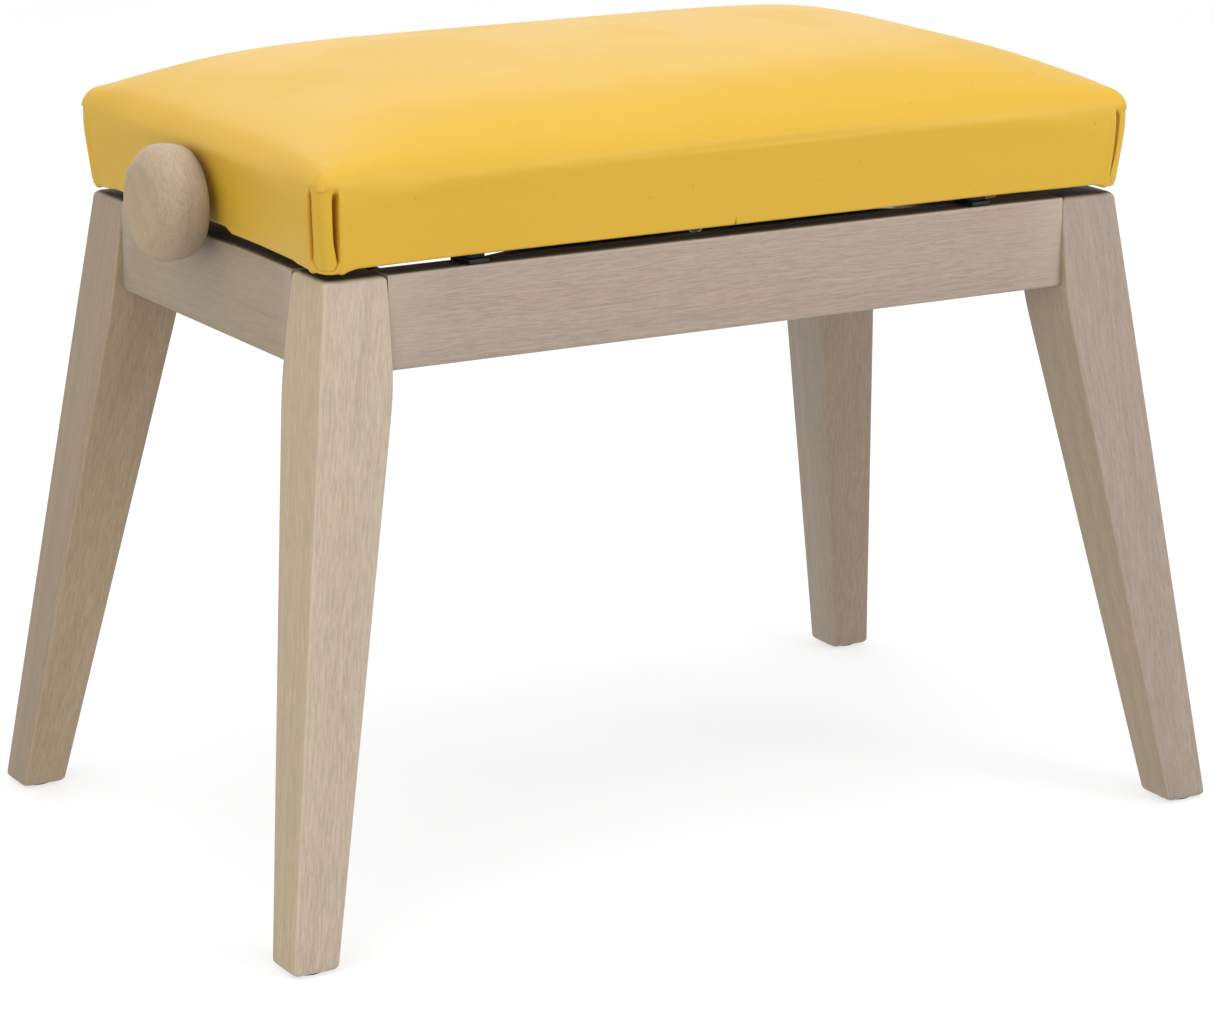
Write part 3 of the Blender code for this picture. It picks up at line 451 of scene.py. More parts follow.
def quarter_round(radius, steps):
    """A quarter circle as pairs of distances: in from the side it starts at, short of the one it ends at."""
    angles = [math.pi / 2 * step / steps for step in range(steps + 1)]
    return [(radius * (1 - math.cos(angle)), radius * (1 - math.sin(angle))) for angle in angles]


def circle(count):
    """Cosine and sine of evenly spaced angles."""
    angles = [math.tau * i / count for i in range(count)]
    return [(math.cos(angle), math.sin(angle)) for angle in angles]


def make_object(name, shape, slot, smooth_angle=35):
    """Makes an object from a bmesh, with its faces turned outwards."""
    bmesh.ops.recalc_face_normals(shape, faces=shape.faces)
    mesh = bpy.data.meshes.new(name)
    shape.to_mesh(mesh)
    shape.free()
    mesh.shade_smooth()
    mesh.set_sharp_from_angle(angle=math.radians(smooth_angle))
    mesh.materials.append(MATERIALS[slot])
    mark_edges(mesh)
    obj = bpy.data.objects.new(name, mesh)
    bpy.context.scene.collection.objects.link(obj)
    return obj


def add_loft(shape, rings, closed=False):
    """Joins rings that have the same number of points. Both ends are capped, or joined if it is closed."""
    loops = [[shape.verts.new(point) for point in ring] for ring in rings]
    count = len(loops[0])
    following = loops[1:] + loops[:1] if closed else loops[1:]
    for lower, upper in zip(loops, following):
        for i in range(count):
            j = (i + 1) % count
            shape.faces.new((lower[i], lower[j], upper[j], upper[i]))
    if not closed:
        caps = [shape.faces.new(loops[0]), shape.faces.new(loops[-1])]
        if count > LARGEST_FLAT_CAP:
            bmesh.ops.poke(shape, faces=caps)


def lofted(rings, closed=False):
    shape = bmesh.new()
    add_loft(shape, rings, closed)
    return shape


def add_turned(shape, axis, centre, profile, segments=48):
    """Turns a profile of (distance along axis, radius) points about a line through centre."""
    axis = Vector(axis).normalized()
    side = axis.orthogonal().normalized()
    other = axis.cross(side)
    rings = []
    for distance, radius in profile:
        middle = Vector(centre) + axis * distance
        rings.append([middle + (side * cosine + other * sine) * radius for cosine, sine in circle(segments)])
    add_loft(shape, rings)


def rounded_section(low, high, radius, steps=4, side_points=2):
    """Points round a rectangle with rounded corners, with a few more points along each side."""
    far_u, far_v = high[0] - radius, high[1] - radius
    near_u, near_v = low[0] + radius, low[1] + radius
    arcs = []
    for quarter, (u, v) in enumerate(((far_u, far_v), (near_u, far_v), (near_u, near_v), (far_u, near_v))):
        angles = [math.pi / 2 * (quarter + i / steps) for i in range(steps + 1)]
        arcs.append([(u + radius * math.cos(angle), v + radius * math.sin(angle)) for angle in angles])
    outline = []
    for arc, following in zip(arcs, arcs[1:] + arcs[:1]):
        outline += arc
        start = Vector(arc[-1])
        side = Vector(following[0]) - start
        outline += [tuple(start + side * i / (side_points + 1)) for i in range(1, side_points + 1)]
    return outline


def finish(obj, slot, body, *nodes):
    """Gives a piece its body, and hides the CAD nodes it stands for. The slot argument is not used."""
    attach(obj, body)
    if nodes:
        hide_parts(*nodes)
    return obj


def make_piece(name, shape, slot, body, *nodes, smooth_angle=35, grain=None):
    """A finished object from a bmesh. Grain holds what mark_grain needs, for timber."""
    obj = make_object(name, shape, slot, smooth_angle)
    if grain:
        mark_grain(obj.data, *grain)
    return finish(obj, slot, body, *nodes)


def refine_node(node, body, slot, width, along=None):
    """A copy of a CAD node's shape with its edges eased, in place of the plain one."""
    shape = bmesh.new()
    shape.from_mesh(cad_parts[node].data)
    bmesh.ops.remove_doubles(shape, verts=shape.verts, dist=1e-6)
    flat = math.radians(1.0)
    bmesh.ops.dissolve_limit(shape, angle_limit=flat, verts=shape.verts, edges=shape.edges)
    crisp = math.radians(30.0)
    edges = [edge for edge in shape.edges if len(edge.link_faces) == 2 and edge.calc_face_angle(0.0) > crisp]
    bmesh.ops.bevel(
        shape, geom=edges, offset=width, offset_type="OFFSET", segments=2, profile=0.5,
        affect="EDGES", clamp_overlap=True,
    )
    grain = (along, (0, 0, 1), sum(map(ord, node))) if along else None
    return make_piece(node + "_finished", shape, slot, body, node, grain=grain)


# ---------------- wooden frame


def leg_inner_offset(z, foot_inner, top_inner):
    """Upright at the top, then tapering straight to the foot after a softly rounded knee."""
    slope = (foot_inner - top_inner) / KNEE_Z
    return top_inner + slope * KNEE_SOFTNESS * math.log1p(math.exp((KNEE_Z - z) / KNEE_SOFTNESS))


def leg_section(z):
    foot_out = LEG_SPLAY * LEG_TOP_Z
    flare = LEG_SPLAY * (LEG_TOP_Z - z)
    inner_x = leg_inner_offset(z, HALF_LENGTH + foot_out - FOOT_X, HALF_LENGTH - LEG_TOP_X)
    inner_y = leg_inner_offset(z, HALF_DEPTH + foot_out - FOOT_Y, HALF_DEPTH - LEG_TOP_Y)
    return inner_x, HALF_LENGTH + flare, inner_y, HALF_DEPTH + flare


def leg_levels():
    """Heights of the leg's rings, each with how far its outline is drawn in to round the ends."""
    levels = [(LEG_LOW_Z + rise, drawn_in) for rise, drawn_in in quarter_round(LEG_FOOT_ROUNDING, 4)[:-1]]
    straight = 12
    knee_start = KNEE_Z - 5 * KNEE_SOFTNESS
    for step in range(straight):
        levels.append((LEG_LOW_Z + LEG_FOOT_ROUNDING + (knee_start - LEG_LOW_Z) * step / straight, 0.0))
    levels += [(KNEE_Z + KNEE_SOFTNESS * step, 0.0) for step in range(-5, 6)]
    levels += [(LEG_TOP_Z - short, drawn_in) for drawn_in, short in quarter_round(LEG_TOP_ROUNDING, 5)]
    return levels


def make_leg(corner, side_x, side_y, seed):
    rings = []
    for z, drawn_in in leg_levels():
        inner_x, outer_x, inner_y, outer_y = leg_section(z)
        low = (inner_x + drawn_in, inner_y + drawn_in)
        high = (outer_x - drawn_in, outer_y - drawn_in)
        outline = rounded_section(low, high, LEG_EDGE_RADIUS, steps=5)
        rings.append([(side_x * x, side_y * y, z) for x, y in outline])
    lean = LEG_SPLAY * 1.1
    grain = ((side_x * lean, side_y * lean, -1.0), (0.25, 1.0, 0.0), seed, LEG_TONES_AND_SHADE[corner])
    node = "leg_" + corner
    make_piece(node + "_wood", lofted(rings), "limed_beech", "base", node, grain=grain)


def rail_rings(half_run):
    """Sections along a rail as (distance, (low, high), edge radius), with a tenon at each end."""
    middle_z = (RAIL_LOW_Z + LEG_TOP_Z) / 2
    half_y = TENON_THICKNESS / 2
    half_z = TENON_HEIGHT / 2
    tenon = ((-half_y, middle_z - half_z), (half_y, middle_z + half_z))
    body = ((-RAIL_THICKNESS / 2, RAIL_LOW_Z), (RAIL_THICKNESS / 2, LEG_TOP_Z))
    tenon_end = half_run + TENON_LENGTH
    pieces = 12
    sections = [(-tenon_end, tenon, TENON_EDGE_RADIUS), (-half_run, tenon, TENON_EDGE_RADIUS)]
    sections += [(half_run * (2 * i / pieces - 1), body, RAIL_EDGE_RADIUS) for i in range(pieces + 1)]
    return [*sections, (half_run, tenon, TENON_EDGE_RADIUS), (tenon_end, tenon, TENON_EDGE_RADIUS)]


def make_rail(name, side, runs_along_x, seed):
    half_run = (HALF_LENGTH - LEG_TOP_X if runs_along_x else HALF_DEPTH - LEG_TOP_Y) - JOINT_GAP
    middle = side * ((HALF_DEPTH if runs_along_x else HALF_LENGTH) - RAIL_THICKNESS / 2)
    rings = []
    for distance, (low, high), radius in rail_rings(half_run):
        outline = rounded_section(low, high, radius)
        if runs_along_x:
            rings.append([(distance, middle + u, v) for u, v in outline])
        else:
            rings.append([(middle + u, distance, v) for u, v in outline])
    along = (1, 0, 0) if runs_along_x else (0, 1, 0)
    grain = (along, (0.35, 0.35, 1.0), seed, RAIL_TONES_AND_SHADE[name])
    node = "rail_" + name
    make_piece(node + "_wood", lofted(rings), "limed_beech", "base", node, grain=grain)


def add_screw_head(shape, centre, axis, radius):
    """A pan head with a cross recess: a turned dome whose middle is pressed in along two crossing bars."""
    axis = Vector(axis).normalized()
    side = axis.orthogonal().normalized()
    other = axis.cross(side)
    height = radius * 0.55
    steps = 7
    rings = []
    for step in range(steps + 1):
        part = 1 - step / (steps + 0.35)
        dome = height * math.sqrt(max(1 - part**2.6, 0.0))
        ring = []
        for cosine, sine in circle(32):
            u = radius * part * cosine
            v = radius * part * sine
            in_bar = min(abs(u), abs(v)) < radius * 0.13 and max(abs(u), abs(v)) < radius * 0.55
            sunk = height * 0.55 if in_bar else 0.0
            ring.append(Vector(centre) + side * u + other * v + axis * max(dome - sunk, 0.0))
        rings.append(ring)
    back = [point - axis * (point - Vector(centre)).dot(axis) - axis * 0.0002 for point in rings[0]]
    add_loft(shape, [back, *rings])


def make_corner_block_screws(corner, side_x, side_y):
    """Two wood screws through each corner block, square to its slanting face."""
    low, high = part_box("corner_block_" + corner)
    start = Vector((low.x if side_x > 0 else high.x, side_y * (HALF_DEPTH - RAIL_THICKNESS), 0.0))
    end = Vector((side_x * (HALF_LENGTH - RAIL_THICKNESS), low.y if side_y > 0 else high.y, 0.0))
    middle = (start + end) / 2
    run = (end - start).normalized()
    outward = Vector((-run.y, run.x, 0.0)) * (-side_x * side_y)
    shape = bmesh.new()
    for z in (low.z + 0.013, high.z - 0.013):
        add_screw_head(shape, (middle.x, middle.y, z), outward, SCREW_HEAD_RADIUS)
    make_piece("corner_block_screws_" + corner, shape, "zinc_steel", "base", smooth_angle=40)


def make_glide(corner):
    """A round nylon foot with a rounded rim and a small pin hole."""
    node = "glide_" + corner
    low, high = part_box(node)
    middle = (low + high) / 2
    radius = (high.x - low.x) / 2
    edge = 0.0008
    profile = [(0.0004, 0.0018), (0.0004, 0.0032), (0.0, 0.0038), (0.0, radius - edge)]
    profile += [(rise, radius - short) for rise, short in quarter_round(edge, 4)[1:]]
    profile.append((high.z - low.z, radius))
    shape = bmesh.new()
    add_turned(shape, (0, 0, 1), (middle.x, middle.y, low.z), profile, segments=40)
    make_piece(node + "_foot", shape, "black_nylon", "base", node)


def build_wooden_frame():
    for index, (corner, side_x, side_y) in enumerate(CORNERS):
        make_leg(corner, side_x, side_y, seed=11 + index)
        refine_node("corner_block_" + corner, "base", "beech_block", 0.0008, along=(side_x, -side_y, 0))
        make_corner_block_screws(corner, side_x, side_y)
        make_glide(corner)
    for index, (name, side) in enumerate(LONG_SIDES):
        make_rail(name, side, True, seed=31 + index)
    for index, (name, side) in enumerate(ENDS):
        make_rail(name, side, False, seed=41 + index)


# ---------------- seat form


def smooth_step(value, low, high):
    part = min(max((value - low) / (high - low), 0.0), 1.0)
    return part * part * (3 - 2 * part)


def bell(value, width):
    return math.exp(-((value / width) ** 2))


def corner_curve(samples=240):
    """Plan curve of a corner, long side to short side: distances from its middle, and unit points."""
    angles = np.linspace(0.0, math.pi / 2, samples)
    across = np.cos(angles) ** (2 / CORNER_POWER)
    along = np.sin(angles) ** (2 / CORNER_POWER)
    steps = np.hypot(np.diff(across), np.diff(along)) * CORNER_SIZE
    length = np.concatenate([[0.0], np.cumsum(steps)])
    return length - length[-1] / 2, across, along


CURVE_LENGTH, CURVE_X, CURVE_Y = corner_curve()
HALF_CURVE = CURVE_LENGTH[-1]


def plan_point(distance, half_x, half_y, corner=CORNER_SIZE):
    """Point and outward direction in the first quadrant, at a distance from the middle of the corner.

    Positive distances run along the long side, negative ones along the short side."""
    if distance > HALF_CURVE:
        return Vector((half_x - corner - (distance - HALF_CURVE), half_y)), Vector((0.0, 1.0))
    if distance < -HALF_CURVE:
        return Vector((half_x, half_y - corner - (-distance - HALF_CURVE))), Vector((1.0, 0.0))
    across = float(np.interp(distance, CURVE_LENGTH, CURVE_X))
    along = float(np.interp(distance, CURVE_LENGTH, CURVE_Y))
    point = Vector((half_x - corner * (1 - across), half_y - corner * (1 - along)))
    power = CORNER_POWER - 1
    return point, Vector((across**power, along**power)).normalized()


def slit_shift(column, z):
    """How far a column of points moves sideways at height z, so that it follows the nearest slit."""
    down = smooth_step(-z, -WIDEST_Z, -SEAT_BOTTOM_Z)
    near_short = max(1 - abs(column - SHORT_SLIT_TOP) / 0.008, 0.0)
    near_long = max(1 - abs(column - LONG_SLIT_TOP) / 0.006, 0.0)
    shift = near_short * (SHORT_SLIT_LOW - SHORT_SLIT_TOP) + near_long * (LONG_SLIT_LOW - LONG_SLIT_TOP)
    return down * shift


def fold_depth(inside, opening):
    """Cross-section of a slit: sharp at the panel's folded edge (inside = 0), easing out over the strip."""
    if inside < 0:
        return 1 - smooth_step(-inside, 0.0, 0.0006)
    return 1 - smooth_step(inside, 0.3 * opening, opening)


def pleat_depth(column, z):
    """How far the vinyl is pressed in at the corner's box pleat."""
    if z > PLEAT_TOP_Z + 0.012 or column < SHORT_SLIT_TOP - 0.014 or column > LONG_SLIT_TOP + 0.014:
        return 0.0
    open_part = smooth_step(-z, -PLEAT_TOP_Z, -PLEAT_FULL_Z)
    low_part = smooth_step(z, SEAT_BOTTOM_Z + 0.001, SEAT_BOTTOM_Z + 0.020)
    depth = SLIT_DEPTH * open_part * (0.45 + 0.55 * low_part)
    from_short = column - SHORT_SLIT_TOP
    from_long = LONG_SLIT_TOP - column
    line_z = strip_line_z(column)
    above = smooth_step(z, line_z - 0.0002, line_z + 0.0006)
    pressed = depth * fold_depth(from_short, 0.0010 + 0.0010 * low_part) * above
    pressed += depth * fold_depth(from_long, 0.0010 + 0.0030 * low_part) * above
    in_strip = from_short > 0 and from_long > 0
    if in_strip:
        pressed += 0.0009 * open_part * above
    if in_strip or min(abs(from_short), abs(from_long)) < 0.0004:
        pressed += 0.0010 * bell(z - line_z, 0.0005)
    middle = (SHORT_SLIT_TOP + LONG_SLIT_TOP) / 2
    pressed += 0.0012 * bell(column - middle, 0.0075) * bell(z - PLEAT_TOP_Z, 0.0055)
    lips = bell(from_short + 0.0020, 0.0018) + bell(from_long + 0.0020, 0.0018)
    return pressed - 0.0010 * open_part * lips


def pull_in(column):
    """The sides are drawn in between the corners, where the vinyl is folded double."""
    return CORNER_FLARE * smooth_step(abs(column), HALF_CURVE * 0.6, HALF_CURVE * 0.6 + FLARE_REACH)


def strip_line_z(column):
    """Height of the curved line where the strip between the slits tucks in at the bottom."""
    middle = (SHORT_SLIT_TOP + LONG_SLIT_TOP) / 2
    half = (LONG_SLIT_TOP - SHORT_SLIT_TOP) / 2
    return SEAT_BOTTOM_Z - 0.0010 + 0.0062 * min(abs(column - middle) / half, 1.0) ** 3.5


def bottom_edge(column, y):
    """Height of the cover's lower edge and the radius it is rolled under with."""
    start = min(1 - smooth_step(-column, 0.031, 0.036), 1 - smooth_step(column, 0.013, 0.022))
    middle = min(1 - smooth_step(-column, 0.008, 0.030), 1 - smooth_step(column, 0.005, 0.019))
    z = SEAT_BOTTOM_Z - LOBE_STEP * start - LOBE_DIP * middle
    if column < 0:
        z += NOTCH_HEIGHT * (1 - smooth_step(y, NOTCH_HALF - 0.006, NOTCH_HALF + 0.002))
    radius = BOTTOM_ROUNDING + (CORNER_BOTTOM_ROUNDING - BOTTOM_ROUNDING) * bell(column + 0.002, 0.011)
    return z, radius


def crown_z(x, y, inset):
    """Height of the stuffed top: a nearly flat crown that rolls over at the edge."""
    radius = EDGE_ROLL - inset
    into_x = max(abs(x) - (SEAT_HALF_X - EDGE_ROLL), 0.0) / radius
    into_y = max(abs(y) - (SEAT_HALF_Y - EDGE_ROLL), 0.0) / radius
    into = min((into_x**ROLL_POWER + into_y**ROLL_POWER) ** (1 / ROLL_POWER), 1.0)
    roll = radius * (1 - math.sqrt(1 - into * into))
    crown_x = 1 - min(abs(x) / SEAT_HALF_X, 1.0) ** CROWN_POWER_X
    crown_y = 1 - min(abs(y) / SEAT_HALF_Y, 1.0) ** CROWN_POWER_Y
    return SEAT_EDGE_Z - inset - roll + CROWN_HEIGHT * crown_x * crown_y


def side_half_sizes(z, inset):
    down = min(max((WIDEST_Z - z) / (WIDEST_Z - SEAT_BOTTOM_Z), 0.0), 1.0)
    full = 1 - LEAN_SOFTNESS * (1 - math.exp(-1 / LEAN_SOFTNESS))
    lean = (down - LEAN_SOFTNESS * (1 - math.exp(-down / LEAN_SOFTNESS))) / full
    return SEAT_HALF_X - inset - SEAT_LEAN_X * lean, SEAT_HALF_Y - inset - SEAT_LEAN_Y * lean


def quarter_columns(fine):
    """Distances from the corner's middle at which the seat's surface has columns of points."""
    long_end = SEAT_HALF_X - CORNER_SIZE + HALF_CURVE
    short_end = SEAT_HALF_Y - CORNER_SIZE + HALF_CURVE
    if not fine:
        corner = list(np.linspace(-0.024, 0.024, 15))
        steps = (24, 13)
    else:
        corner = set(np.round(np.arange(-0.024, 0.0241, 0.001), 5))
        for slit, reach in ((SHORT_SLIT_TOP, 1), (LONG_SLIT_TOP, -1)):
            for step in range(-8, 15):
                corner.add(round(slit + reach * step * 0.0003, 5))
        corner = sorted(corner)
        steps = (34, 20)
    long_run = list(np.linspace(corner[-1], long_end, steps[0] + 1))[1:]
    short_run = list(np.linspace(-short_end, corner[0], steps[1] + 1))[:-1]
    return [*short_run, *corner, *long_run]


def quadrants(columns):
    """Every column round the seat as (sign of x, sign of y, column), in order round the outline."""
    around = [(1, 1, column) for column in columns[:-1]]
    around += [(-1, 1, column) for column in reversed(columns[1:])]
    around += [(-1, -1, column) for column in columns[:-1]]
    around += [(1, -1, column) for column in reversed(columns[1:])]
    return around


def top_ring(around, size, inset, corner_relief=0.0):
    ring = []
    for side_x, side_y, column in around:
        point, outward = plan_point(column, SEAT_HALF_X - inset, SEAT_HALF_Y - inset, CORNER_SIZE - inset)
        z = crown_z(point.x * size, point.y * size, inset)
        inwards = pull_in(column) + corner_relief * bell(column, 0.018)
        point = point * size - outward * inwards * size**6
        ring.append(Vector((side_x * point.x, side_y * point.y, z)))
    return ring


def side_point(side_x, side_y, column, part, rolled, inset, pleated):
    """A point of the side: part runs from the widest line to the roll, rolled is the angle turned under."""
    guess, _ = plan_point(column, SEAT_HALF_X, SEAT_HALF_Y)
    edge_z, radius = bottom_edge(column, guess.y)
    inner_radius = max(radius - inset, 0.0)
    z = WIDEST_Z + (edge_z + radius - WIDEST_Z) * part - inner_radius * math.sin(rolled)
    half_x, half_y = side_half_sizes(z, inset)
    shift = slit_shift(column, z) if pleated else 0.0
    point, outward = plan_point(column + shift, half_x, half_y, CORNER_SIZE - inset)
    pressed = pleat_depth(column, z) if pleated else 0.0
    inwards = pull_in(column) + pressed * math.cos(rolled) + inner_radius * (1 - math.cos(rolled))
    point = point - outward * inwards
    return Vector((side_x * point.x, side_y * point.y, z + pressed * math.sin(rolled)))


def side_rings(around, parts, roll_steps, inset=0.0, pleated=True):
    rings = [[side_point(*place, part, 0.0, inset, pleated) for place in around] for part in parts]
    for step in range(1, roll_steps + 1):
        rolled = math.pi / 2 * step / roll_steps
        rings.append([side_point(*place, 1.0, rolled, inset, pleated) for place in around])
    return rings


def top_sizes(count):
    return [math.sin(math.pi / 2 * i / count) for i in range(1, count)]


def hem_ring(around, inset, raise_by):
    """The turned-under edge of the cover, flat against the underside of the skirt boards."""
    ring = []
    half_x, half_y = side_half_sizes(SEAT_BOTTOM_Z, inset)
    for side_x, side_y, column in around:
        guess, _ = plan_point(column, SEAT_HALF_X, SEAT_HALF_Y)
        edge_z, _ = bottom_edge(column, guess.y)
        shifted = column + slit_shift(column, edge_z)
        point, outward = plan_point(shifted, half_x, half_y, CORNER_SIZE - inset)
        point = point - outward * pull_in(column)
        ring.append(Vector((side_x * point.x, side_y * point.y, edge_z + raise_by)))
    return ring


def apply_modifier(obj, modifier):
    """Replaces an object's mesh with what its one modifier makes of it."""
    graph = bpy.context.evaluated_depsgraph_get()
    made = bpy.data.meshes.new_from_object(obj.evaluated_get(graph))
    obj.modifiers.remove(modifier)
    obj.data = made


def swell_by_simulation():
    """Runs the seat's form as a slightly stretched, stuffed cloth. Returns points and how each one moved."""
    around = quadrants(quarter_columns(fine=False))
    rings = [top_ring(around, size, SWELL_LIMIT) for size in top_sizes(16)]
    rings += side_rings(around, [0.0, 0.25, 0.5, 0.75, 1.0], 1, inset=SWELL_LIMIT, pleated=False)
    body = make_object("seat_sim", lofted(rings), "yellow_vinyl")
    remesh = body.modifiers.new("remesh", "REMESH")
    remesh.mode = "VOXEL"
    remesh.voxel_size = 0.0065
    apply_modifier(body, remesh)
    before = np.array([vertex.co for vertex in body.data.vertices])
    pins = body.vertex_groups.new(name="held")
    for index, point in enumerate(before):
        held = 1 - smooth_step(point[2], WIDEST_Z - 0.014, WIDEST_Z + 0.003)
        pins.add([index], held, "REPLACE")
    cloth = body.modifiers.new("stuffing", "CLOTH")
    settings = cloth.settings
    settings.quality = 5
    settings.mass = 0.4
    settings.tension_stiffness = 60.0
    settings.compression_stiffness = 60.0
    settings.shear_stiffness = 40.0
    settings.bending_stiffness = 6.0
    settings.use_pressure = True
    settings.uniform_pressure_force = 4.0
    settings.shrink_min = 0.004
    settings.vertex_group_mass = "held"
    settings.effector_weights.gravity = 0.0
    cloth.collision_settings.use_collision = False
    cloth.point_cache.frame_start = 1
    cloth.point_cache.frame_end = SIMULATED_FRAMES
    scene = bpy.context.scene
    for number in range(1, SIMULATED_FRAMES + 1):
        scene.frame_set(number)
    evaluated = body.evaluated_get(bpy.context.evaluated_depsgraph_get())
    moved = np.array([vertex.co for vertex in evaluated.data.vertices]) - before
    scene.frame_set(1)
    bpy.data.objects.remove(body, do_unlink=True)
    length = np.linalg.norm(moved, axis=1, keepdims=True)
    return before, moved * np.minimum(1.0, SWELL_LIMIT / np.maximum(length, 1e-9))


class Swell:
    """Spreads the simulated movement over any point of the seat."""

    def __init__(self, points, moves):
        self.moves = moves
        self.tree = kdtree.KDTree(len(points))
        for index, point in enumerate(points):
            self.tree.insert(point, index)
        self.tree.balance()

    def at(self, point):
        total = Vector((0.0, 0.0, 0.0))
        weight_sum = 0.0
        for _, index, distance in self.tree.find_n(point, 12):
            weight = math.exp(-((distance / 0.008) ** 2)) + 1e-6
            total += Vector(self.moves[index]) * weight
            weight_sum += weight
        return total / weight_sum


def swollen(rings, swell):
    if swell is None:
        return rings
    return [[point + swell.at(point) for point in ring] for ring in rings]


def crease_along_front(ring_points):
    """A faint wrinkle just under the front edge of the top, left of the middle."""
    creased = []
    for point in ring_points:
        along = bell(point.x - 0.02, 0.085)
        height = point.z - (SEAT_EDGE_Z - 0.0085 + 0.004 * (point.x - 0.02))
        press = 0.0006 * along * (bell(height, 0.0012) - 0.5 * bell(height - 0.003, 0.002))
        front = smooth_step(-point.y, SEAT_HALF_Y - 0.03, SEAT_HALF_Y - 0.01)
        creased.append(point + Vector((0.0, press * front, -press * front * 0.5)))
    return creased


def make_cover(swell):
    """The vinyl skin: over the top, down the sides, folded under, and back up on the inside."""
    around = quadrants(quarter_columns(fine=True))
    parts = [1 - (1 - i / 46) ** 1.35 for i in range(47)]
    outer = [top_ring(around, size, 0.0) for size in top_sizes(44)]
    outer += side_rings(around, parts, 12)
    outer = [crease_along_front(ring) for ring in swollen(outer, swell)]
    folds = ((0.5, 0.0), (1.0, 0.0), (1.0, COVER_THICKNESS), (0.5, COVER_THICKNESS))
    hem = [hem_ring(around, HEM_WIDTH * part, raise_by) for part, raise_by in folds]
    inner = side_rings(around, parts[::4], 4, inset=COVER_THICKNESS)[::-1]
    inner += [top_ring(around, size, COVER_THICKNESS) for size in reversed(top_sizes(18))]
    shape = lofted([*outer, *hem, *swollen(inner, swell)])
    cover = make_object("seat_cover_vinyl", shape, "yellow_vinyl", smooth_angle=60)
    cut_spindle_hole(cover)
    finish(cover, "yellow_vinyl", "seat", "seat_cover")


def cut_spindle_hole(cover):
    shape = bmesh.new()
    reach = SEAT_HALF_X + 0.02
    add_turned(shape, (1, 0, 0), (0, 0, SPINDLE_Z), ((-reach, 0.009), (reach, 0.009)))
    cutter = make_object("spindle_hole", shape, "yellow_vinyl")
    cut = cover.modifiers.new("spindle_hole", "BOOLEAN")
    cut.operation = "DIFFERENCE"
    cut.solver = "EXACT"
    cut.object = cutter
    apply_modifier(cover, cut)
    bpy.data.objects.remove(cutter, do_unlink=True)


def make_foam_pad(swell):
    around = quadrants(quarter_columns(fine=False))
    inset = COVER_THICKNESS + 2 * FIT_GAP
    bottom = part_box("foam_pad")[0].z
    rings = [top_ring(around, size, inset, FOAM_CORNER_RELIEF) for size in top_sizes(26)]
    rings = [ring for ring in rings if min(point.z for point in ring) > bottom + 0.0005]
    rings = swollen(rings, swell)
    rings.append([Vector((point.x, point.y, bottom)) for point in rings[-1]])
    foam = make_piece("foam_pad_block", lofted(rings), "foam", "seat", "foam_pad", smooth_angle=50)


# ---------------- seat boards and fastenings


def eased_levels(low, high, edge):
    """Levels through a board, each with how far its outline is drawn in to ease the edges."""
    return ((low, edge), (low + edge, 0.0), (high - edge, 0.0), (high, edge))


def make_seat_board():
    low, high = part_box("seat_board")
    rings = []
    for z, drawn_in in eased_levels(low.z, high.z, 0.0008):
        half_x = high.x - drawn_in
        half_y = high.y - drawn_in
        outline = rounded_section((-half_x, -half_y), (half_x, half_y), SKIRT_CORNER_RADIUS, 8, 6)
        rings.append([(x, y, z) for x, y in outline])
    grain = ((1, 0, 0), (0, 1, 0), 51)
    make_piece("seat_board_ply", lofted(rings), "plywood", "seat", "seat_board", grain=grain)


def make_long_skirt(name, side_y):
    """Front or back skirt board, well rounded at its ends so that the pleats have room."""
    node = "skirt_" + name
    low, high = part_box(node)
    outer = max(abs(low.y), abs(high.y))
    inner = outer - SKIRT_THICKNESS
    radius = SKIRT_CORNER_RADIUS
    start = math.asin((radius - SKIRT_THICKNESS) / radius)
    angles = [start + (math.pi / 2 - start) * i / 8 for i in range(9)]
    arc = [(high.x - radius + radius * math.cos(a), outer - radius + radius * math.sin(a)) for a in angles]
    outline = [*arc, *[(-x, y) for x, y in reversed(arc)]]
    rings = []
    for z, drawn_in in eased_levels(low.z, high.z, 0.0006):
        shrink_x = 1 - drawn_in / high.x
        shrink_y = drawn_in / SKIRT_THICKNESS
        rings.append([(x * shrink_x, side_y * (y - shrink_y * (y - inner)), z) for x, y in outline])
    grain = ((1, 0, 0), (0, 0, 1), 53 + side_y)
    skirt = make_piece(node + "_ply", lofted(rings), "plywood", "seat", node, grain=grain)
    swap_thickness(skirt.data, 1)


def swap_thickness(mesh, axis):
    """Makes the grain attribute's third coordinate the world coordinate that runs through the board."""
    data = mesh.attributes["grain"].data
    values = np.empty(len(data) * 3, np.float32)
    data.foreach_get("vector", values)
    values = values.reshape(-1, 3)
    values[:, 2] = [vertex.co[axis] for vertex in mesh.vertices]
    data.foreach_set("vector", values.ravel())


def make_short_skirt(name):
    skirt = refine_node("skirt_" + name, "seat", "plywood", 0.0006, along=(0, 1, 0))
    swap_thickness(skirt.data, 0)


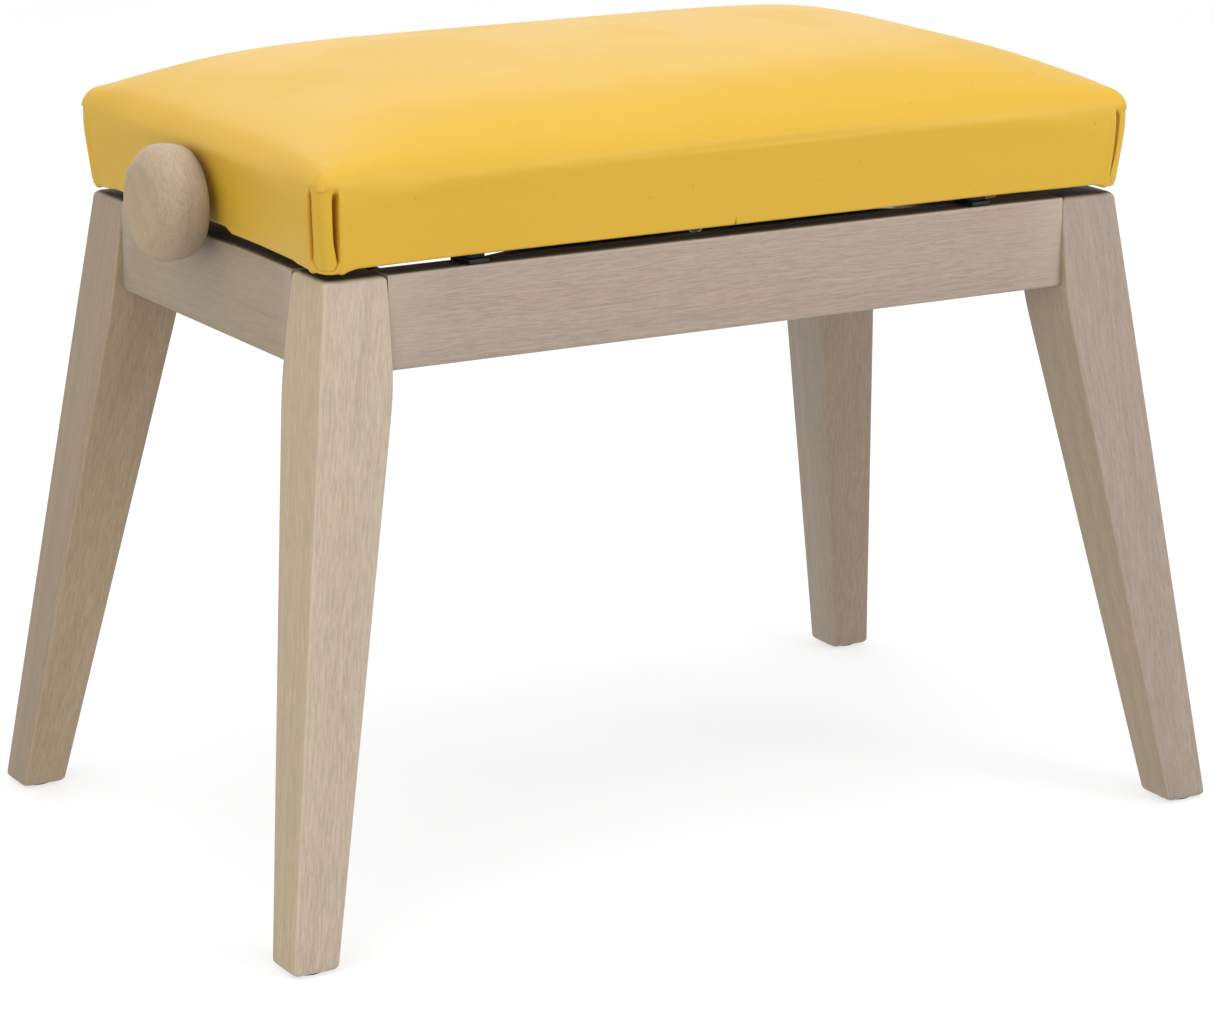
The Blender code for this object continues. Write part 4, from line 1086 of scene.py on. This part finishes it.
def add_staple(shape, centre, along):
    """A wire staple seen from below: a crown whose two ends turn up into the board."""
    along = Vector(along)
    side = Vector((along.y, -along.x, 0.0))
    up = Vector((0.0, 0.0, 1.0))
    half = 0.0052
    wire = 0.00045
    path = [(-half, 0.0025)]
    path += [(inwards - half, rise) for inwards, rise in quarter_round(0.0009, 4)]
    path += [(-u, v) for u, v in reversed(path)]
    rings = []
    for index, (u, v) in enumerate(path):
        after = path[min(index + 1, len(path) - 1)]
        before = path[max(index - 1, 0)]
        run = Vector((after[0] - before[0], after[1] - before[1])).normalized()
        ring = []
        for cosine, sine in circle(8):
            lift = wire * sine
            place = Vector(centre) + along * (u - run.y * lift) + up * (v + run.x * lift)
            ring.append(place + side * wire * 1.5 * cosine)
        rings.append(ring)
    add_loft(shape, rings)


def make_staples():
    """Staples every few centimetres along the middle of the hem, each a little askew."""
    random.seed(7)
    shape = bmesh.new()
    inset = HEM_WIDTH * 0.62
    half_x = SEAT_HALF_X - SEAT_LEAN_X - inset
    half_y = SEAT_HALF_Y - SEAT_LEAN_Y - inset
    from_corner = 0.028
    z = SEAT_BOTTOM_Z - 0.0003
    for side in (-1, 1):
        for count, half, across, along_x in ((15, half_x, half_y, True), (7, half_y, half_x, False)):
            for i in range(count):
                run = -half + from_corner + 2 * (half - from_corner) * i / (count - 1)
                run += random.uniform(-0.003, 0.003)
                tilt = random.uniform(-0.12, 0.12)
                if along_x:
                    add_staple(shape, (run, side * across, z), (math.cos(tilt), math.sin(tilt), 0.0))
                elif abs(run) > NOTCH_HALF + 0.006:
                    add_staple(shape, (side * across, run, z), (math.sin(tilt), math.cos(tilt), 0.0))
    make_piece("hem_staples", shape, "zinc_steel", "seat")


def make_board_screws():
    """Pan-head screws that hold the angle bars' flanges to the seat board."""
    shape = bmesh.new()
    from_end = 0.035
    for name, side_y in LONG_SIDES:
        low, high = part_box("upper_plate_" + name)
        outer = high.y if side_y > 0 else low.y
        for i in range(4):
            x = low.x + from_end + (high.x - low.x - 2 * from_end) * i / 3
            add_screw_head(shape, (x, outer - side_y * 0.008, high.z - 0.003), (0, 0, -1), 0.0040)
    make_piece("seat_board_screws", shape, "zinc_steel", "seat", smooth_angle=40)


def build_seat():
    swell = None
    swell = Swell(*swell_by_simulation())
    make_cover(swell)
    make_foam_pad(swell)
    make_seat_board()
    for name, side_y in LONG_SIDES:
        make_long_skirt(name, side_y)
        refine_node("upper_plate_" + name, "seat", "black_steel", 0.0005)
    for name, _ in ENDS:
        make_short_skirt(name)
        refine_node("upper_tie_" + name, "seat", "black_steel", 0.0005)
        refine_node("spindle_bush_" + name, "seat", "black_nylon", 0.0004)
    make_staples()
    make_board_screws()


# ---------------- lift


def make_rod(node, body):
    """A bright rod along y with a rounded head at each end."""
    low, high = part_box(node)
    middle = (low + high) / 2
    start = [(low.y, ROD_FLAT_RADIUS)]
    for inwards, short in quarter_round(1.0, 5)[1:]:
        size = ROD_FLAT_RADIUS + (ROD_HEAD_RADIUS - ROD_FLAT_RADIUS) * (1 - short)
        start.append((low.y + ROD_HEAD * inwards, size))
    start.append((low.y + ROD_HEAD, ROD_RADIUS))
    end = [(low.y + high.y - distance, size) for distance, size in reversed(start)]
    shape = bmesh.new()
    add_turned(shape, (0, 1, 0), (middle.x, 0.0, middle.z), [*start, *end], segments=36)
    make_piece(node + "_bright", shape, "zinc_steel", body, node)


def make_bracket_screws(corner, side_y):
    node = "bracket_screw_" + corner
    low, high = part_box(node)
    middle = (low + high) / 2
    head = low.y if side_y > 0 else high.y
    centre = (middle.x, head + side_y * 0.0024, middle.z)
    shape = bmesh.new()
    add_screw_head(shape, centre, (0, -side_y, 0), SCREW_HEAD_RADIUS)
    shank = ((0.0003, 0.002), (0.0105, 0.002), (0.0136, 0.0006))
    add_turned(shape, (0, side_y, 0), centre, shank, segments=20)
    make_piece(node + "_bright", shape, "zinc_steel", "base", node, smooth_angle=40)


def make_stop(corner):
    """A rubber pad with rounded edges and a shallow dish on top."""
    node = "seat_stop_" + corner
    low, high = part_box(node)
    levels = [(low.z, 0.0003), (low.z + 0.0003, 0.0)]
    levels += [(high.z - short, drawn_in) for drawn_in, short in quarter_round(0.0009, 4)]
    levels.append((high.z - 0.0004, 0.0022))
    rings = []
    for z, drawn_in in levels:
        start = (low.x + drawn_in, low.y + drawn_in)
        end = (high.x - drawn_in, high.y - drawn_in)
        rings.append([(x, y, z) for x, y in rounded_section(start, end, 0.0022, steps=5)])
    make_piece(node + "_pad", lofted(rings), "black_rubber", "base", node)


def build_lift():
    for name, _ in LONG_SIDES:
        refine_node("lower_plate_" + name, "base", "black_steel", 0.0005)
        refine_node("outer_arm_" + name, "outer_arms", "black_steel", 0.0007)
        refine_node("inner_arm_" + name, "inner_arms", "black_steel", 0.0007)
        make_rod("upper_pivot_pin_" + name, "inner_arms")
    for name, _ in ENDS:
        refine_node("lower_tie_" + name, "base", "black_steel", 0.0005)
    for corner, _, side_y in CORNERS:
        refine_node("bracket_" + corner, "base", "black_steel", 0.0006)
        make_bracket_screws(corner, side_y)
        make_stop(corner)
    make_rod("lower_pivot_rod", "outer_arms")
    make_rod("centre_pivot_rod", "outer_arms")
    make_rod("lower_slide_rod", "inner_arms")
    refine_node("nut_bar", "nut", "zinc_steel", 0.0004)


# ---------------- screw and knobs


def thread_radius(turn):
    """Radius of the trapezoidal thread at a part of one turn, 0 to 1."""
    slope = abs((turn % 1.0) - 0.5) * 2
    return SPINDLE_RADIUS - THREAD_DEPTH * min(max((slope - 0.30) / 0.30, 0.0), 1.0)


def make_spindle():
    low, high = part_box("spindle")
    thread_end = 0.2055
    chamfer = 0.0006
    segments = 24
    steps = int(2 * thread_end / THREAD_LEAD * 10)
    positions = [low.x, low.x + chamfer, low.x + 0.090]
    positions += [-thread_end + 2 * thread_end * i / steps for i in range(steps + 1)]
    positions += [high.x - 0.090, high.x - chamfer, high.x]
    rings = []
    for x in positions:
        fade = smooth_step(thread_end - abs(x), 0.0, THREAD_LEAD)
        ring = []
        for i in range(segments):
            angle = math.tau * i / segments
            cut = SPINDLE_RADIUS - thread_radius(x / THREAD_LEAD - angle / math.tau)
            radius = SPINDLE_RADIUS - cut * fade
            if abs(x) > high.x - 0.0005:
                radius -= chamfer
            ring.append((x, radius * math.cos(angle), SPINDLE_Z + radius * math.sin(angle)))
        rings.append(ring)
    make_piece("spindle_thread", lofted(rings), "zinc_steel", "screw", "spindle", smooth_angle=50)


def make_collar(name):
    """A ring on the spindle with chamfered edges and a grub screw in its top."""
    node = "spindle_collar_" + name
    low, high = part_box(node)
    radius = (high.z - low.z) / 2
    bore = SPINDLE_RADIUS + FIT_GAP
    edge = 0.0007
    profile = (
        (low.x, bore), (low.x, radius - edge), (low.x + edge, radius),
        (high.x - edge, radius), (high.x, radius - edge), (high.x, bore),
    )
    round_points = circle(48)
    rings = [[(x, size * u, SPINDLE_Z + size * v) for u, v in round_points] for x, size in profile]
    shape = lofted(rings, closed=True)
    grub = ((radius - 0.0012, 0.0004), (radius - 0.0012, 0.0011), (radius - 0.0003, 0.0013),
            (radius - 0.0003, 0.0019), (radius - 0.0014, 0.0019))
    add_turned(shape, (0, 0, 1), ((low.x + high.x) / 2, 0, SPINDLE_Z), grub, segments=6)
    make_piece(node + "_bright", shape, "zinc_steel", "screw", node)


def knob_profile():
    """From the bore across the back, round the full belly and in to the middle of the outer face."""
    thickness = KNOB_HIGH.x - KNOB_LOW.x
    widest = thickness - KNOB_FACE_TO_WIDEST
    bore = SPINDLE_RADIUS + FIT_GAP
    ease = 0.0012
    profile = [(0.0195, 0.0005), (0.0195, bore), (0.0, bore), (0.0, KNOB_BACK_RADIUS - ease)]
    for angle in (0.5, 1.05):
        profile.append((ease * (1 - math.cos(angle)), KNOB_BACK_RADIUS - ease * (1 - math.sin(angle))))
    steps = 18
    for i in range(1, steps + 1):
        angle = math.pi / 2 * i / steps
        swell = (KNOB_RADIUS - KNOB_BACK_RADIUS) * math.sin(angle)
        profile.append((widest * (1 - math.cos(angle)), KNOB_BACK_RADIUS + swell))
    meets_face = math.radians(60.0)
    for i in range(1, steps + 1):
        angle = meets_face * i / steps
        swell = (math.cos(angle) - math.cos(meets_face)) / (1 - math.cos(meets_face))
        run = KNOB_FACE_TO_WIDEST * math.sin(angle) / math.sin(meets_face)
        profile.append((widest + run, KNOB_FACE_RADIUS + (KNOB_RADIUS - KNOB_FACE_RADIUS) * swell))
    return profile + [(thickness, KNOB_FACE_RADIUS * part) for part in (0.9, 0.7, 0.45, 0.2, 0.02)]


def make_knob(name, side_x):
    """A turned wooden knob. Its round form would count as worn all over, so the wear is taken off."""
    node = "knob_" + name
    shape = bmesh.new()
    add_turned(shape, (side_x, 0, 0), (side_x * KNOB_LOW.x, 0, SPINDLE_Z), knob_profile(), segments=96)
    grain = ((0.0, 0.64, 0.77), (1.0, 0.12, 0.0), 61 + side_x, KNOB_TONES_AND_SHADE)
    knob = make_piece(node + "_wood", shape, "limed_beech", "screw", node, smooth_angle=50, grain=grain)
    worn = knob.data.attributes["edge"].data
    worn.foreach_set("value", np.zeros(len(worn), np.float32))


def build_screw():
    make_spindle()
    for name, side_x in ENDS:
        make_collar(name)
        make_knob(name, side_x)


# ---------------- studio


def make_floor():
    mesh = bpy.data.meshes.new("floor")
    reach = 12.0
    corners = [(-reach, -reach, 0.0), (reach, -reach, 0.0), (reach, reach, 0.0), (-reach, reach, 0.0)]
    mesh.from_pydata(corners, [], [(0, 1, 2, 3)])
    mesh.materials.append(make_floor_material("studio_floor"))
    floor = bpy.data.objects.new("floor", mesh)
    bpy.context.scene.collection.objects.link(floor)


def make_area_light(name, location, target, size, power):
    data = bpy.data.lights.new(name, "AREA")
    data.shape = "RECTANGLE"
    data.size, data.size_y = size
    data.energy = power
    light = bpy.data.objects.new(name, data)
    light.location = location
    light.rotation_euler = (Vector(target) - Vector(location)).to_track_quat("-Z", "Y").to_euler()
    bpy.context.scene.collection.objects.link(light)


def make_studio():
    world = bpy.data.worlds.new("studio")
    bpy.context.scene.world = world
    world.use_nodes = True
    background = world.node_tree.nodes["Background"]
    background.inputs["Color"].default_value = (1.0, 1.0, 1.0, 1.0)
    background.inputs["Strength"].default_value = 1.20
    target = (0.0, 0.0, 0.35)
    make_area_light("overhead_softbox", (-0.2, -0.3, 2.3), (0.0, 0.0, 0.3), (2.2, 1.8), 25.5)
    make_area_light("front_softbox", (1.4, -2.2, 1.2), target, (0.9, 0.9), 25.0)
    make_area_light("left_softbox", (-2.0, -1.5, 1.0), target, (1.2, 1.0), 12.0)
    make_area_light("back_softbox", (0.8, 2.2, 1.8), (0.0, 0.0, 0.4), (2.0, 1.2), 7.0)
    bpy.context.scene.view_settings.view_transform = "Standard"


def make_camera():
    """A long lens at the photograph's viewing angle: left of the front and a little above."""
    data = bpy.data.cameras.new("camera")
    data.sensor_width = 36.0
    data.lens = 129.19
    data.shift_x = -0.0041
    data.shift_y = 0.0002
    data.clip_end = 60.0
    camera = bpy.data.objects.new("camera", data)
    turned = Matrix.Rotation(math.radians(-30.535), 4, "Z")
    pitched = Matrix.Rotation(math.radians(90.0 - 15.01), 4, "X")
    rolled = Matrix.Rotation(math.radians(0.226), 4, "Z")
    camera.matrix_world = Matrix.Translation((-1.3503, -2.2998, 0.9034)) @ turned @ pitched @ rolled
    bpy.context.scene.collection.objects.link(camera)
    bpy.context.scene.camera = camera


MATERIALS = make_materials()
make_camera()
make_studio()
make_floor()
build_wooden_frame()
build_seat()
build_lift()
build_screw()
